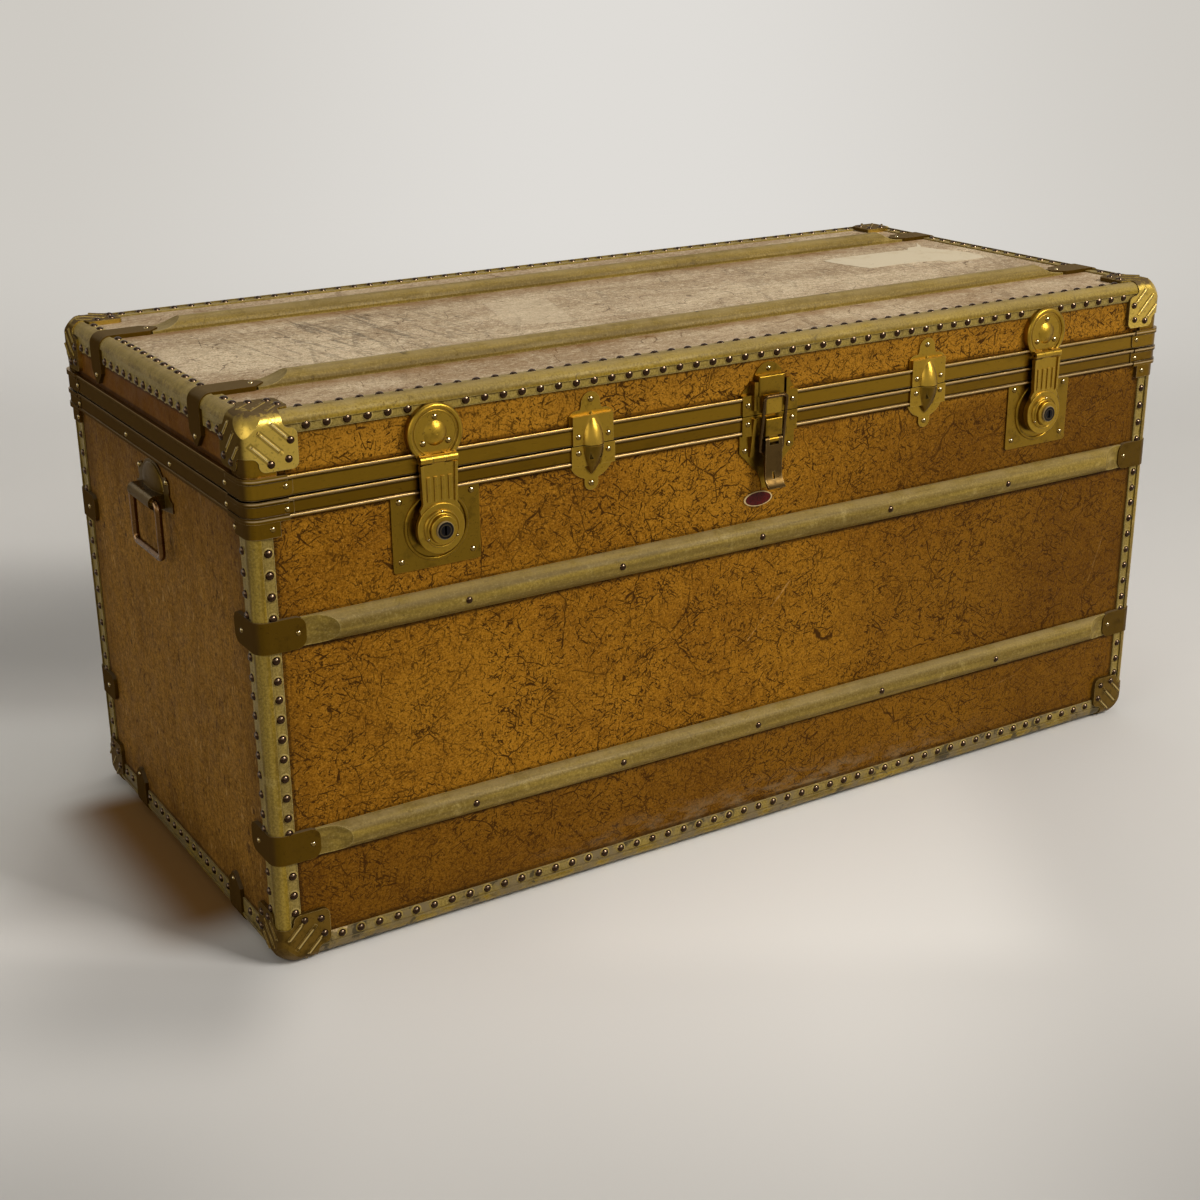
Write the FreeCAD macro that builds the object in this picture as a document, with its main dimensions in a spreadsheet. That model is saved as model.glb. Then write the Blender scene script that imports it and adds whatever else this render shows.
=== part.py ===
import FreeCAD, Part
import math
import os
import Sketcher
from FreeCAD import Placement, Rotation, Vector

# Travel trunk: a boarded case with fibre bindings, wooden slats and stamped brass hardware.
# +X runs along the front, the front faces -Y and +Z is up. The origin is under the middle.

SIZES = {
    # The case over its bindings; the lid's height sets the seam where it meets the body
    "case_length": 1014.0,
    "case_depth": 465.0,
    "case_height": 486.0,
    "foot_drop": 3.0,
    "lid_height": 68.0,
    "seam_gap": 0.8,
    # Boards, cover sheets, lining and the rim that centres the lid
    "board": 8.0,
    "cover": 1.2,
    "lining": 1.0,
    "rim_thick": 4.5,
    "rim_rise": 10.0,
    "rim_depth": 32.0,
    "rim_play": 1.0,
    # Fibre bindings
    "bead_proud": 3.0,
    "bead_width": 10.5,
    "flange": 1.5,
    "face_leg": 20.5,
    "end_leg": 25.0,
    "flat_leg": 20.0,
    "lid_face_leg": 18.0,
    # Bands round the body rim and the lid rim
    "band_height": 17.0,
    "band_proud": 4.0,
    "band_gap": 0.6,
    "rib_height": 3.0,
    "rib_proud": 5.2,
    "rib_round": 1.1,
    "gauge": 1.0,
    "clamp_band_reach": 39.0,
    "clamp_plate_reach": 27.0,
    "lid_clamp_rise": 34.0,
    "body_clamp_drop": 32.0,
    # Wooden slats and the straps that hold their ends
    "slat_width": 25.0,
    "slat_proud": 12.0,
    "slat_side": 3.0,
    "slat_tip": 2.6,
    "slat_scoop": 30.0,
    "scoop_radius": 42.0,
    "slat_inset": 39.0,
    "upper_slat_drop": 116.0,
    "lower_slat_height": 113.0,
    "strap_width": 27.5,
    "strap_reach": 42.5,
    "strap_end_reach": 47.0,
    "strap_nose": 9.0,
    "lid_slat_edge": 102.5,
    "lid_slat_inset": 52.0,
    "lid_strap_drop": 45.0,
    "lid_strap_reach": 60.0,
    "strap_point": 11.5,
    "foot_slat_edge": 104.5,
    # Corner caps
    "cap_gauge": 1.2,
    "cap_ball_reach": 22.0,
    "cap_ball_ease": 0.4,
    "cap_edge": 34.0,
    "cap_lobe": 46.0,
    "cap_neck": 6.5,
    "cap_round": 6.0,
    "cap_bead_radius": 1.6,
    "cap_bead_sink": 0.5,
    "cap_long_bead": 28.0,
    "cap_short_bead": 16.0,
    "cap_long_start": 13.0,
    "cap_short_start": 24.5,
    "cap_short_level": 7.5,
    # Locks: plate and keeper on the body, disc and hasp on the lid
    "lock_inset": 165.0,
    "lock_plate_width": 82.0,
    "lock_plate_height": 66.0,
    "lock_plate_corner": 3.0,
    "lock_ring_radius": 28.5,
    "lock_ring_bead": 1.7,
    "lock_drop": 48.0,
    "keeper_radius": 9.0,
    "keeper_height": 5.0,
    "keeper_slot": 3.0,
    "strike_rise": 32.5,
    "strike_radius": 25.5,
    "strike_crest": 8.2,
    "strike_level": 6.2,
    "strike_rim": 5.5,
    "strike_dome_radius": 10.5,
    "strike_dome": 3.6,
    "hasp_axis_rise": 12.0,
    "hasp_axis_proud": 9.5,
    "hasp_knuckle": 3.6,
    "hasp_width": 34.0,
    "hasp_waist": 32.0,
    "hasp_flare": 9.0,
    "hasp_case_radius": 19.5,
    "hasp_case_wall": 2.0,
    "hasp_case_back": 2.4,
    "hasp_middle": 11.4,
    "hasp_pin": 1.5,
    "hasp_back": 7.0,
    "hasp_thick": 3.0,
    "hasp_side": 2.4,
    "hasp_side_rise": 1.6,
    "hasp_head_radius": 22.0,
    "hasp_head_thick": 4.2,
    "hasp_bead_width": 3.0,
    "hasp_bead_rise": 1.0,
    "hasp_bead_length": 21.0,
    "hasp_bead_pitch": 6.6,
    "hasp_ring_radius": 16.5,
    "hasp_ring_rise": 1.4,
    "hasp_dome_radius": 12.5,
    "hasp_dome_rise": 4.6,
    "hasp_round": 1.2,
    "hasp_recess": 2.0,
    "plug_radius": 8.0,
    "plug_length": 11.0,
    "plug_inset": 1.0,
    "plug_sink": 0.6,
    "key_slot": 1.8,
    "key_slot_length": 8.0,
    # Dowels that line the lid up on the body
    "dowel_to_lock": 152.0,
    "dowel_half": 22.0,
    "dowel_rise": 45.5,
    "dowel_drop": 42.5,
    "dowel_shoulder": 26.0,
    "dowel_lobe": 9.5,
    "dowel_foot_lobe": 7.0,
    "plate_gauge": 1.6,
    "bridge_level": 5.8,
    "bridge_reach": 19.0,
    "almond_half": 28.5,
    "almond_radius": 11.4,
    "almond_sink": 4.4,
    "tongue_half": 5.0,
    "tongue_length": 11.0,
    "tongue_low": 7.2,
    "tongue_thick": 2.6,
    "tongue_play": 0.9,
    # Centre draw-bolt latch
    "latch_half": 31.0,
    "latch_rise": 47.0,
    "latch_lobe": 15.5,
    "latch_drop": 72.0,
    "latch_flap": 18.0,
    "latch_block_half": 14.5,
    "latch_block_level": 8.0,
    "latch_block_top": 36.0,
    "latch_rib_in": 16.0,
    "latch_rib_out": 20.0,
    "latch_rib_level": 8.4,
    "lug_half": 9.5,
    "lug_level": 12.0,
    "lug_top": 17.0,
    "housing_level": 13.0,
    "housing_top": 3.0,
    "housing_bottom": 20.0,
    "lever_axis_drop": 24.0,
    "lever_axis_proud": 10.0,
    "lever_knuckle": 3.0,
    "lever_pin": 1.2,
    "lever_middle": 10.0,
    "lever_gauge": 2.2,
    "lever_length": 44.0,
    "lever_curl": 7.0,
    "bail_pivot_drop": 11.0,
    "bail_pivot_back": 2.0,
    "bail_wire": 1.6,
    "bail_half": 12.5,
    "bail_height": 53.0,
    "bail_bend": 4.0,
    "bail_pin": 5.0,
    # End handles
    "handle_drop": 52.0,
    "handle_proud": 11.0,
    "handle_wire": 3.2,
    "handle_half": 35.0,
    "handle_hang": 50.0,
    "handle_bend": 6.5,
    "handle_plate_half": 47.0,
    "handle_plate_top": 21.0,
    "handle_plate_foot": 71.0,
    "handle_ear_half": 40.0,
    "handle_ear_drop": 29.0,
    "handle_sleeve_half": 28.0,
    "handle_sleeve_wall": 3.2,
    "handle_dome_wide": 26.0,
    "handle_dome_tall": 18.0,
    "handle_dome_rise": 4.5,
    # Rear hinges
    "hinge_inset": 177.0,
    "hinge_proud": 9.5,
    "hinge_knuckle": 4.0,
    "hinge_pin": 2.0,
    "hinge_pitch": 10.0,
    "hinge_leaf": 42.0,
    "hinge_leaf_gauge": 1.5,
    "hinge_web": 2.6,
    # Oval badge
    "badge_half_width": 16.0,
    "badge_half_height": 7.0,
    "badge_gauge": 1.0,
    "badge_drop": 82.0,
    "badge_offset": 8.0,
    # Fits and cutting overrun
    "running_fit": 0.05,
    "clearance": 0.4,
    "overrun": 2.0,
}

doc = FreeCAD.newDocument("travel_trunk")
sheet = doc.addObject("Spreadsheet::Sheet", "Sizes")
for row, (alias, number) in enumerate(SIZES.items(), start=1):
    sheet.set(f"A{row}", alias)
    sheet.set(f"B{row}", str(number))
    sheet.setAlias(f"B{row}", alias)
doc.recompute()


class Length:
    """A length that carries its present number and the sheet expression that gives it."""

    def __init__(self, number, text):
        self.number = number
        self.text = text

    def __add__(self, other):
        return Length(self.number + other.number, f"({self.text} + {other.text})")

    def __sub__(self, other):
        return Length(self.number - other.number, f"({self.text} - {other.text})")

    def __neg__(self):
        return Length(-self.number, f"(-{self.text})")

    def __mul__(self, factor):
        return Length(self.number * factor, f"({self.text} * {factor})")

    def __truediv__(self, factor):
        return Length(self.number / factor, f"({self.text} / {factor})")


def size(alias):
    return Length(float(sheet.get(alias)), f"Sizes.{alias}")


def arc_radius(chord, rise):
    """The radius of the arc over a chord that rises by a given height."""
    number = (chord.number ** 2 / 4 + rise.number ** 2) / (2 * rise.number)
    return Length(number, f"(({chord.text} ^ 2 / 4 + {rise.text} ^ 2) / (2 * {rise.text}))")


def bind(target, prop, length):
    target.setExpression(prop, length.text)


ZERO = Length(0.0, "0")
OVER = size("overrun")
FIT = size("running_fit")
CLEAR = size("clearance")

HALF_LENGTH = size("case_length") / 2
HALF_DEPTH = size("case_depth") / 2
BEAD = size("bead_proud")
END_FACE = HALF_LENGTH - BEAD
FRONT_FACE = HALF_DEPTH - BEAD
CASE_FOOT = size("foot_drop")
CASE_TOP = CASE_FOOT + size("case_height")
BOTTOM_FACE = CASE_FOOT + BEAD
TOP_FACE = CASE_TOP - BEAD
SEAM = CASE_TOP - size("lid_height")
BODY_TOP = SEAM - size("seam_gap") / 2
LID_FOOT = SEAM + size("seam_gap") / 2
COVER = size("cover")
BOARD = size("board")
LINING = size("lining")
SLAT_LEVELS = {"upper": SEAM - size("upper_slat_drop"), "lower": size("lower_slat_height")}
LID_SLAT_Y = HALF_DEPTH - size("lid_slat_edge")
FOOT_SLAT_Y = HALF_DEPTH - size("foot_slat_edge")
BINDING_ROUND = size("bead_width")
INNER_ROUND = BINDING_ROUND - BEAD
BALL = size("cap_ball_reach")
BAND_LOW = size("band_gap")
BAND_HIGH = BAND_LOW + size("band_height")

# Plain operations on whole solids

PLANES = {
    "XY": Rotation(),
    "XZ": Rotation(Vector(1, 0, 0), 90),
    "YZ": Rotation(Vector(1, 1, 1), 120),
}
ALONG = {"X": Rotation(Vector(0, 1, 0), 90), "Y": Rotation(Vector(1, 0, 0), 90), "Z": Rotation()}


def place(target, x=ZERO, y=ZERO, z=ZERO, turn=None):
    """Turns a piece about its own origin and puts that origin at a place tied to the sheet."""
    if turn is not None:
        target.Placement = Placement(Vector(), turn)
    for axis, length in zip("xyz", (x, y, z)):
        bind(target, f"Placement.Base.{axis}", length)
    return target


def box(name, low, high):
    block = doc.addObject("Part::Box", name)
    for side, start, end in zip(("Length", "Width", "Height"), low, high):
        bind(block, side, end - start)
    return place(block, *low)


def rod(name, radius, length, at, along="X"):
    """A round bar that starts at a point; along Y it runs towards the front."""
    bar = doc.addObject("Part::Cylinder", name)
    bind(bar, "Radius", radius)
    bind(bar, "Height", length)
    return place(bar, *at, turn=ALONG[along])


def cut(name, base, tool):
    result = doc.addObject("Part::Cut", name)
    result.Base = base
    result.Tool = tool
    return result


def fuse(name, pieces):
    result = doc.addObject("Part::MultiFuse", name)
    result.Shapes = pieces
    result.Refine = True
    return result


def common(name, pieces):
    result = doc.addObject("Part::MultiCommon", name)
    result.Shapes = pieces
    return result


def group(name, pieces):
    result = doc.addObject("Part::Compound", name)
    result.Links = pieces
    return result


def mirror(name, source, axis, about=ZERO):
    """A mirror image across a plane square to one axis."""
    result = doc.addObject("Part::Mirroring", name)
    result.Source = source
    result.Normal = {"X": Vector(1, 0, 0), "Y": Vector(0, 1, 0), "Z": Vector(0, 0, 1)}[axis]
    bind(result, f"Base.{axis.lower()}", about)
    return result


def both_ways(name, source, axis):
    return group(name, [source, mirror(f"{name}_mirror_{axis}", source, axis)])


def four_ways(name, source):
    pair = both_ways(f"{name}_pair", source, "X")
    return group(name, [pair, mirror(f"{name}_mirror_Y", pair, "Y")])


# Sketches whose every corner is tied to the sheet

def point_rule(sketch, name, geometry, spot, x, y):
    """Holds one point of the sketch at a place from the sheet."""
    for axis, length, other_axis in (("X", x, -2), ("Y", y, -1)):
        if length is ZERO:
            sketch.addConstraint(Sketcher.Constraint("PointOnObject", geometry, spot, other_axis))
            continue
        rule = Sketcher.Constraint(f"Distance{axis}", -1, 1, geometry, spot, length.number)
        index = sketch.addConstraint(rule)
        sketch.renameConstraint(index, f"{name}_{axis.lower()}")
        bind(sketch, f"Constraints.{name}_{axis.lower()}", length)


def radius_rule(sketch, name, geometry, radius):
    index = sketch.addConstraint(Sketcher.Constraint("Radius", geometry, radius.number))
    sketch.renameConstraint(index, f"{name}_radius")
    bind(sketch, f"Constraints.{name}_radius", radius)


def bulge_point(start, end, radius, turn):
    """The middle of the arc from start to end; turn 1 curls left and -1 curls right."""
    chord = end - start
    half = chord.Length / 2
    rise = radius - max(radius ** 2 - half ** 2, 0.0) ** 0.5
    side = Vector(chord.y, -chord.x, 0).normalize() * rise * turn
    return (start + end) * 0.5 + side


def outline(sketch, corners, closed=True):
    """Draws lines and arcs. A corner is (x, y), or (x, y, radius, turn) where an arc ends."""
    first = sketch.GeometryCount
    count = len(corners) if closed else len(corners) - 1
    ends = []
    for step in range(count):
        here = corners[step]
        there = corners[(step + 1) % len(corners)]
        start = Vector(here[0].number, here[1].number, 0)
        end = Vector(there[0].number, there[1].number, 0)
        if len(there) == 2:
            sketch.addGeometry(Part.LineSegment(start, end), False)
            ends.append((1, 2))
            continue
        middle = bulge_point(start, end, there[2].number, there[3])
        sketch.addGeometry(Part.Arc(start, middle, end), False)
        ends.append((1, 2) if there[3] > 0 else (2, 1))
    for step in range(count if closed else count - 1):
        after = (step + 1) % count
        joint = ("Coincident", first + step, ends[step][1], first + after, ends[after][0])
        sketch.addConstraint(Sketcher.Constraint(*joint))
    for step in range(count):
        x, y = corners[step][:2]
        point_rule(sketch, f"corner_{first + step}", first + step, ends[step][0], x, y)
        arc = corners[(step + 1) % len(corners)]
        if len(arc) == 4:
            radius_rule(sketch, f"arc_{first + step}", first + step, arc[2])
    if not closed:
        x, y = corners[-1][:2]
        point_rule(sketch, "last_corner", first + count - 1, ends[-1][1], x, y)


def circle(sketch, radius, x=ZERO, y=ZERO):
    centre = Vector(x.number, y.number, 0)
    index = sketch.addGeometry(Part.Circle(centre, Vector(0, 0, 1), radius.number), False)
    if x is ZERO and y is ZERO:
        sketch.addConstraint(Sketcher.Constraint("Coincident", index, 3, -1, 1))
    else:
        point_rule(sketch, f"centre_{index}", index, 3, x, y)
    radius_rule(sketch, f"circle_{index}", index, radius)


def both_sides(half):
    """Closes an outline that runs down the right side from x = 0 back to x = 0."""
    back = [(-half[k][0], half[k][1]) + half[k + 1][2:] for k in range(len(half) - 2, 0, -1)]
    return [half[0][:2] + half[1][2:]] + half[1:] + back


def rectangle(low_x, low_y, high_x, high_y):
    return [(low_x, low_y), (high_x, low_y), (high_x, high_y), (low_x, high_y)]


def rounded(half_x, half_y, radius):
    """A rounded rectangle about the origin."""
    in_x = half_x - radius
    in_y = half_y - radius
    return [
        (in_x, -half_y), (half_x, -in_y, radius, 1), (half_x, in_y), (in_x, half_y, radius, 1),
        (-in_x, half_y), (-half_x, in_y, radius, 1), (-half_x, -in_y), (-in_x, -half_y, radius, 1),
    ]


def prism(name, corners, plane, level, length):
    """An outline pushed along its plane's normal; XZ outlines push towards the front."""
    sketch = doc.addObject("Sketcher::SketchObject", f"{name}_outline")
    sketch.Placement = Placement(Vector(), PLANES[plane])
    outline(sketch, corners)
    axis, sign = {"XY": ("z", level), "XZ": ("y", -level), "YZ": ("x", level)}[plane]
    bind(sketch, f"Placement.Base.{axis}", sign)
    solid = doc.addObject("Part::Extrusion", name)
    solid.Base = sketch
    solid.DirMode = "Normal"
    solid.Solid = True
    bind(solid, "LengthFwd", length)
    return solid


# PartDesign bodies

def new_body(name):
    return doc.addObject("PartDesign::Body", f"{name}_body")


def origin_plane(body, plane):
    return next(item for item in body.Origin.OriginFeatures if item.Role == f"{plane}_Plane")


def body_sketch(body, name, plane, level=ZERO):
    sketch = body.newObject("Sketcher::SketchObject", f"{body.Name}_{name}")
    sketch.AttachmentSupport = (origin_plane(body, plane), "")
    sketch.MapMode = "FlatFace"
    bind(sketch, "AttachmentOffset.Base.z", level)
    return sketch


def feature(body, kind, name, sketch):
    result = body.newObject(f"PartDesign::{kind}", f"{body.Name}_{name}")
    result.Profile = (sketch, [""])
    return result


def pad(body, name, sketch, length):
    result = feature(body, "Pad", name, sketch)
    bind(result, "Length", length)
    return result


def pocket(body, name, sketch, depth=None, backwards=False):
    """Cuts a profile, to a depth or through everything on both sides."""
    result = feature(body, "Pocket", name, sketch)
    result.Reversed = backwards
    if depth is None:
        result.Type = "ThroughAll"
        result.Midplane = True
    else:
        bind(result, "Length", depth)
    return result


def edges_where(base, test):
    """Names of the edges whose middle point and direction pass a test."""
    doc.recompute()
    names = []
    for number, edge in enumerate(base.Shape.Edges, start=1):
        middle = edge.valueAt((edge.FirstParameter + edge.LastParameter) / 2)
        ends = edge.Vertexes
        run = ends[-1].Point - ends[0].Point
        if test(middle, run):
            names.append(f"Edge{number}")
    return names


def soften(body, kind, name, base, test, length):
    """A Fillet or a Chamfer on the edges of the last feature that pass a test."""
    result = body.newObject(f"PartDesign::{kind}", f"{body.Name}_{name}")
    result.Base = (base, edges_where(base, test))
    bind(result, "Radius" if kind == "Fillet" else "Size", length)
    return result


def near(value, length):
    return abs(value - length.number) < NEAR


NEAR = 0.01
parts = {}


def keep(name, piece):
    """Labels a finished sub-part with the name of its file."""
    piece.Label = name
    parts[name] = piece
    return piece

# Boards, covers, lining and rim

OUT_X = END_FACE - COVER
OUT_Y = FRONT_FACE - COVER
IN_X = OUT_X - BOARD
IN_Y = OUT_Y - BOARD
FLOOR = BOTTOM_FACE + COVER + BOARD
CEILING = TOP_FACE - COVER - BOARD
BOARD_ROUND = INNER_ROUND - COVER
COVER_X = END_FACE - INNER_ROUND
COVER_Y = FRONT_FACE - INNER_ROUND


def board(name, low, high, outer_edge):
    """A board whose edges that pass the test are rounded to sit inside the bindings."""
    body = new_body(name)
    sketch = body_sketch(body, "plan", "XY", low[2])
    outline(sketch, rectangle(low[0], low[1], high[0], high[1]))
    slab = pad(body, "slab", sketch, high[2] - low[2])
    soften(body, "Fillet", "corners", slab, outer_edge, BOARD_ROUND)
    return body


def wall_boards(prefix, low_z, high_z, round_z):
    """Front and back boards run full length, and the end boards stand between them."""
    def long_edge(middle, run):
        outer = [near(middle.y, -OUT_Y), near(abs(middle.x), OUT_X), near(middle.z, round_z)]
        return sum(outer) == 2

    def end_edge(middle, run):
        return near(middle.x, -OUT_X) and near(middle.z, round_z)

    front = board(f"{prefix}_front", (-OUT_X, -OUT_Y, low_z), (OUT_X, -IN_Y, high_z), long_edge)
    left = board(f"{prefix}_left", (-OUT_X, -IN_Y, low_z), (-IN_X, IN_Y, high_z), end_edge)
    keep(f"{prefix}_front_board", front)
    keep(f"{prefix}_back_board", mirror(f"{prefix}_back", front, "Y"))
    keep(f"{prefix}_left_board", left)
    keep(f"{prefix}_right_board", mirror(f"{prefix}_right", left, "X"))


def four_sheets(prefix, out_x, out_y, reach_x, reach_y, thick, low_z, high_z):
    """Thin sheets on the four walls, front pair first."""
    front = box(f"{prefix}_front", (-reach_x, -out_y, low_z), (reach_x, -out_y + thick, high_z))
    left = box(f"{prefix}_left", (-out_x, -reach_y, low_z), (-out_x + thick, reach_y, high_z))
    return [both_ways(f"{prefix}_long", front, "Y"), both_ways(f"{prefix}_ends", left, "X")]


wall_boards("body", BOTTOM_FACE + COVER, BODY_TOP, BOTTOM_FACE + COVER)
wall_boards("lid", LID_FOOT, TOP_FACE - COVER, TOP_FACE - COVER)
keep("body_bottom_board", box("body_bottom", (-IN_X, -IN_Y, BOTTOM_FACE + COVER), (IN_X, IN_Y, FLOOR)))
keep("lid_top_board", box("lid_top", (-IN_X, -IN_Y, CEILING), (IN_X, IN_Y, TOP_FACE - COVER)))

RIM_FOOT = BODY_TOP - size("rim_depth")
RIM_TOP = SEAM + size("rim_rise")

body_cover = four_sheets("body_cover", END_FACE, FRONT_FACE, COVER_X, COVER_Y, COVER,
                         BOTTOM_FACE + INNER_ROUND, BODY_TOP)
body_cover.append(box("body_cover_foot", (-COVER_X, -COVER_Y, BOTTOM_FACE),
                      (COVER_X, COVER_Y, BOTTOM_FACE + COVER)))
keep("body_cover_sheets", group("body_covers", body_cover))

lid_cover = four_sheets("lid_cover", END_FACE, FRONT_FACE, COVER_X, COVER_Y, COVER,
                        LID_FOOT, TOP_FACE - INNER_ROUND)
lid_cover.append(box("lid_cover_roof", (-COVER_X, -COVER_Y, TOP_FACE - COVER),
                     (COVER_X, COVER_Y, TOP_FACE)))
keep("lid_cover_sheets", group("lid_covers", lid_cover))

body_lining = four_sheets("body_lining", IN_X, IN_Y, IN_X, IN_Y - LINING, LINING,
                          FLOOR + LINING, RIM_FOOT)
body_lining.append(box("body_lining_floor", (-IN_X, -IN_Y, FLOOR), (IN_X, IN_Y, FLOOR + LINING)))
keep("body_lining_sheets", group("body_linings", body_lining))

lid_lining = four_sheets("lid_lining", IN_X, IN_Y, IN_X, IN_Y - LINING, LINING,
                         RIM_TOP + OVER, CEILING - LINING)
lid_lining.append(box("lid_lining_roof", (-IN_X, -IN_Y, CEILING - LINING), (IN_X, IN_Y, CEILING)))
keep("lid_lining_sheets", group("lid_linings", lid_lining))


def rim_section(wall):
    """The rim's L section from the wall inwards, with a bevel that leads the lid on."""
    play = size("rim_play")
    thick = size("rim_thick")
    return [
        (-wall, RIM_FOOT), (-wall + thick, RIM_FOOT), (-wall + thick, RIM_TOP),
        (-wall + play * 2, RIM_TOP), (-wall + play, RIM_TOP - play * 2),
        (-wall + play, BODY_TOP), (-wall, BODY_TOP),
    ]


def make_rim():
    long_reach = IN_X - size("rim_play")
    end_reach = IN_Y - size("rim_thick")
    front = prism("rim_front", rim_section(IN_Y), "YZ", -long_reach, long_reach * 2)
    left = prism("rim_left", rim_section(IN_X), "XZ", -end_reach, end_reach * 2)
    pieces = [both_ways("rim_long", front, "Y"), both_ways("rim_ends", left, "X")]
    keep("body_locating_rim", group("rim", pieces))


make_rim()

# Bindings: fibre angle strips with a raised round corner and two thin flanges


def binding_section(leg_a, leg_b):
    """Corner coordinates: both legs start at the outer corner and run inwards."""
    low = BEAD - size("flange")
    return [
        (leg_a, BEAD), (leg_a, low), (BINDING_ROUND, low), (BINDING_ROUND, ZERO),
        (ZERO, BINDING_ROUND, BINDING_ROUND, -1), (low, BINDING_ROUND), (low, leg_b),
        (BEAD, leg_b), (BEAD, BINDING_ROUND), (BINDING_ROUND, BEAD, INNER_ROUND, 1),
    ]


def strap_section(leg_a, leg_b, lift):
    """A plain strap round the corner that stands a lift beyond the binding's round corner."""
    wide = BINDING_ROUND + lift
    return [
        (leg_a, BEAD), (leg_a, -lift), (BINDING_ROUND, -lift),
        (-lift, BINDING_ROUND, wide, -1), (-lift, leg_b),
        (BEAD, leg_b), (BEAD, BINDING_ROUND), (BINDING_ROUND, BEAD, INNER_ROUND, 1),
    ]


def at_corner(section, a_zero, b_zero):
    """Moves a section from corner coordinates to a place where both legs run positive."""
    return [(a_zero + spot[0], b_zero + spot[1]) + spot[2:] for spot in section]


def at_top(section, a_zero, b_zero):
    """The same with the second leg running down, so arcs curl the other way."""
    moved = []
    for spot in section:
        curl = (spot[2], -spot[3]) if len(spot) == 4 else ()
        moved.append((a_zero + spot[0], b_zero - spot[1]) + curl)
    return moved


def edge_strips(name, front_section, end_section):
    """Strips along the four edges of the bottom or the top."""
    long_reach = HALF_LENGTH - BALL
    end_reach = HALF_DEPTH - size("flat_leg")
    front = prism(f"{name}_front", front_section, "YZ", -long_reach, long_reach * 2)
    left = prism(f"{name}_left", end_section, "XZ", -end_reach, end_reach * 2)
    return group(name, [both_ways(f"{name}_long", front, "Y"), both_ways(f"{name}_ends", left, "X")])


def make_bindings():
    upright_foot = CASE_FOOT + size("end_leg")
    section = at_corner(binding_section(size("face_leg"), size("end_leg")), -HALF_LENGTH, -HALF_DEPTH)
    upright = prism("upright", section, "XY", upright_foot, SEAM - BAND_HIGH - upright_foot)
    keep("body_upright_bindings", four_ways("uprights", upright))
    flat = size("flat_leg")
    front = at_corner(binding_section(flat, size("face_leg")), -HALF_DEPTH, CASE_FOOT)
    end = at_corner(binding_section(flat, size("end_leg")), -HALF_LENGTH, CASE_FOOT)
    keep("body_bottom_bindings", edge_strips("bottom_bindings", front, end))
    front = at_top(binding_section(flat, size("lid_face_leg")), -HALF_DEPTH, CASE_TOP)
    end = at_top(binding_section(flat, size("end_leg")), -HALF_LENGTH, CASE_TOP)
    keep("lid_top_bindings", edge_strips("top_bindings", front, end))


make_bindings()

# Bands: a strip with rolled ribs round the rim of the body and of the lid


def ring_pad(body, name, low_z, high_z, proud):
    sketch = body_sketch(body, name, "XY", low_z)
    outline(sketch, rounded(END_FACE, FRONT_FACE, INNER_ROUND))
    outline(sketch, rounded(END_FACE + proud, FRONT_FACE + proud, INNER_ROUND + proud))
    return pad(body, f"{name}_ring", sketch, high_z - low_z)


def band(name, low_z, high_z, ribs):
    body = new_body(name)
    last = ring_pad(body, "strip", low_z, high_z, size("band_proud"))
    for number, (rib_low, rib_high) in enumerate(ribs):
        last = ring_pad(body, f"rib_{number}", rib_low, rib_high, size("rib_proud"))

    def rib_edge(middle, run):
        return near(abs(middle.y), FRONT_FACE + size("rib_proud"))

    soften(body, "Fillet", "rolled", last, rib_edge, size("rib_round"))
    return keep(name, body)


RIB = size("rib_height")
body_band = band("body_band", SEAM - BAND_HIGH, SEAM - BAND_LOW,
                 [(SEAM - BAND_HIGH, SEAM - BAND_HIGH + RIB), (SEAM - BAND_LOW - RIB, SEAM - BAND_LOW)])
lid_band = band("lid_band", SEAM + BAND_LOW, SEAM + BAND_HIGH,
                [(SEAM + BAND_HIGH - RIB, SEAM + BAND_HIGH)])

# Slats: half-round wooden rails whose ends are scooped to slip under their straps


def slat_section(centre, face):
    """Half-round section seen along the rail; the flat side lies on the face."""
    half = size("slat_width") / 2
    side = size("slat_side")
    crown = size("slat_proud")
    curve = arc_radius(size("slat_width"), crown - side)
    return [
        (-face, centre - half), (-face, centre + half), (-face - side, centre + half),
        (-face - crown, centre, curve, 1), (-face - side, centre - half, curve, 1),
    ]


def slat(name, reach):
    """A rail along X on a face at y = 0, crowned towards -Y."""
    body = new_body(name)
    section = body_sketch(body, "section", "YZ", -reach)
    outline(section, slat_section(ZERO, ZERO))
    pad(body, "rail", section, reach * 2)
    start = reach - size("slat_scoop")
    crown = size("slat_proud") + OVER
    tip = size("slat_tip")
    scoop = body_sketch(body, "scoop_outline", "XY")
    outline(scoop, [(start, -crown), (reach + OVER, -crown), (reach + OVER, -tip), (reach, -tip),
                    (start, -size("slat_proud"), size("scoop_radius"), 1)])
    cut_away = pocket(body, "scoop", scoop)
    both = body.newObject("PartDesign::Mirrored", f"{name}_both_ends")
    both.Originals = [cut_away]
    both.MirrorPlane = (origin_plane(body, "YZ"), [""])
    body.Tip = both
    return body


def wall_slats(name, mirrored):
    rails = []
    for level, height in SLAT_LEVELS.items():
        rail = slat(f"{name}_{level}", HALF_LENGTH - size("slat_inset"))
        place(rail, y=-FRONT_FACE, z=height)
        rails.append(rail)
    pair = group(f"{name}_rails", rails)
    return keep(name, mirror(f"{name}_rear", pair, "Y") if mirrored else pair)


front_slats = wall_slats("body_front_slats", False)
back_slats = wall_slats("body_back_slats", True)


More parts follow.
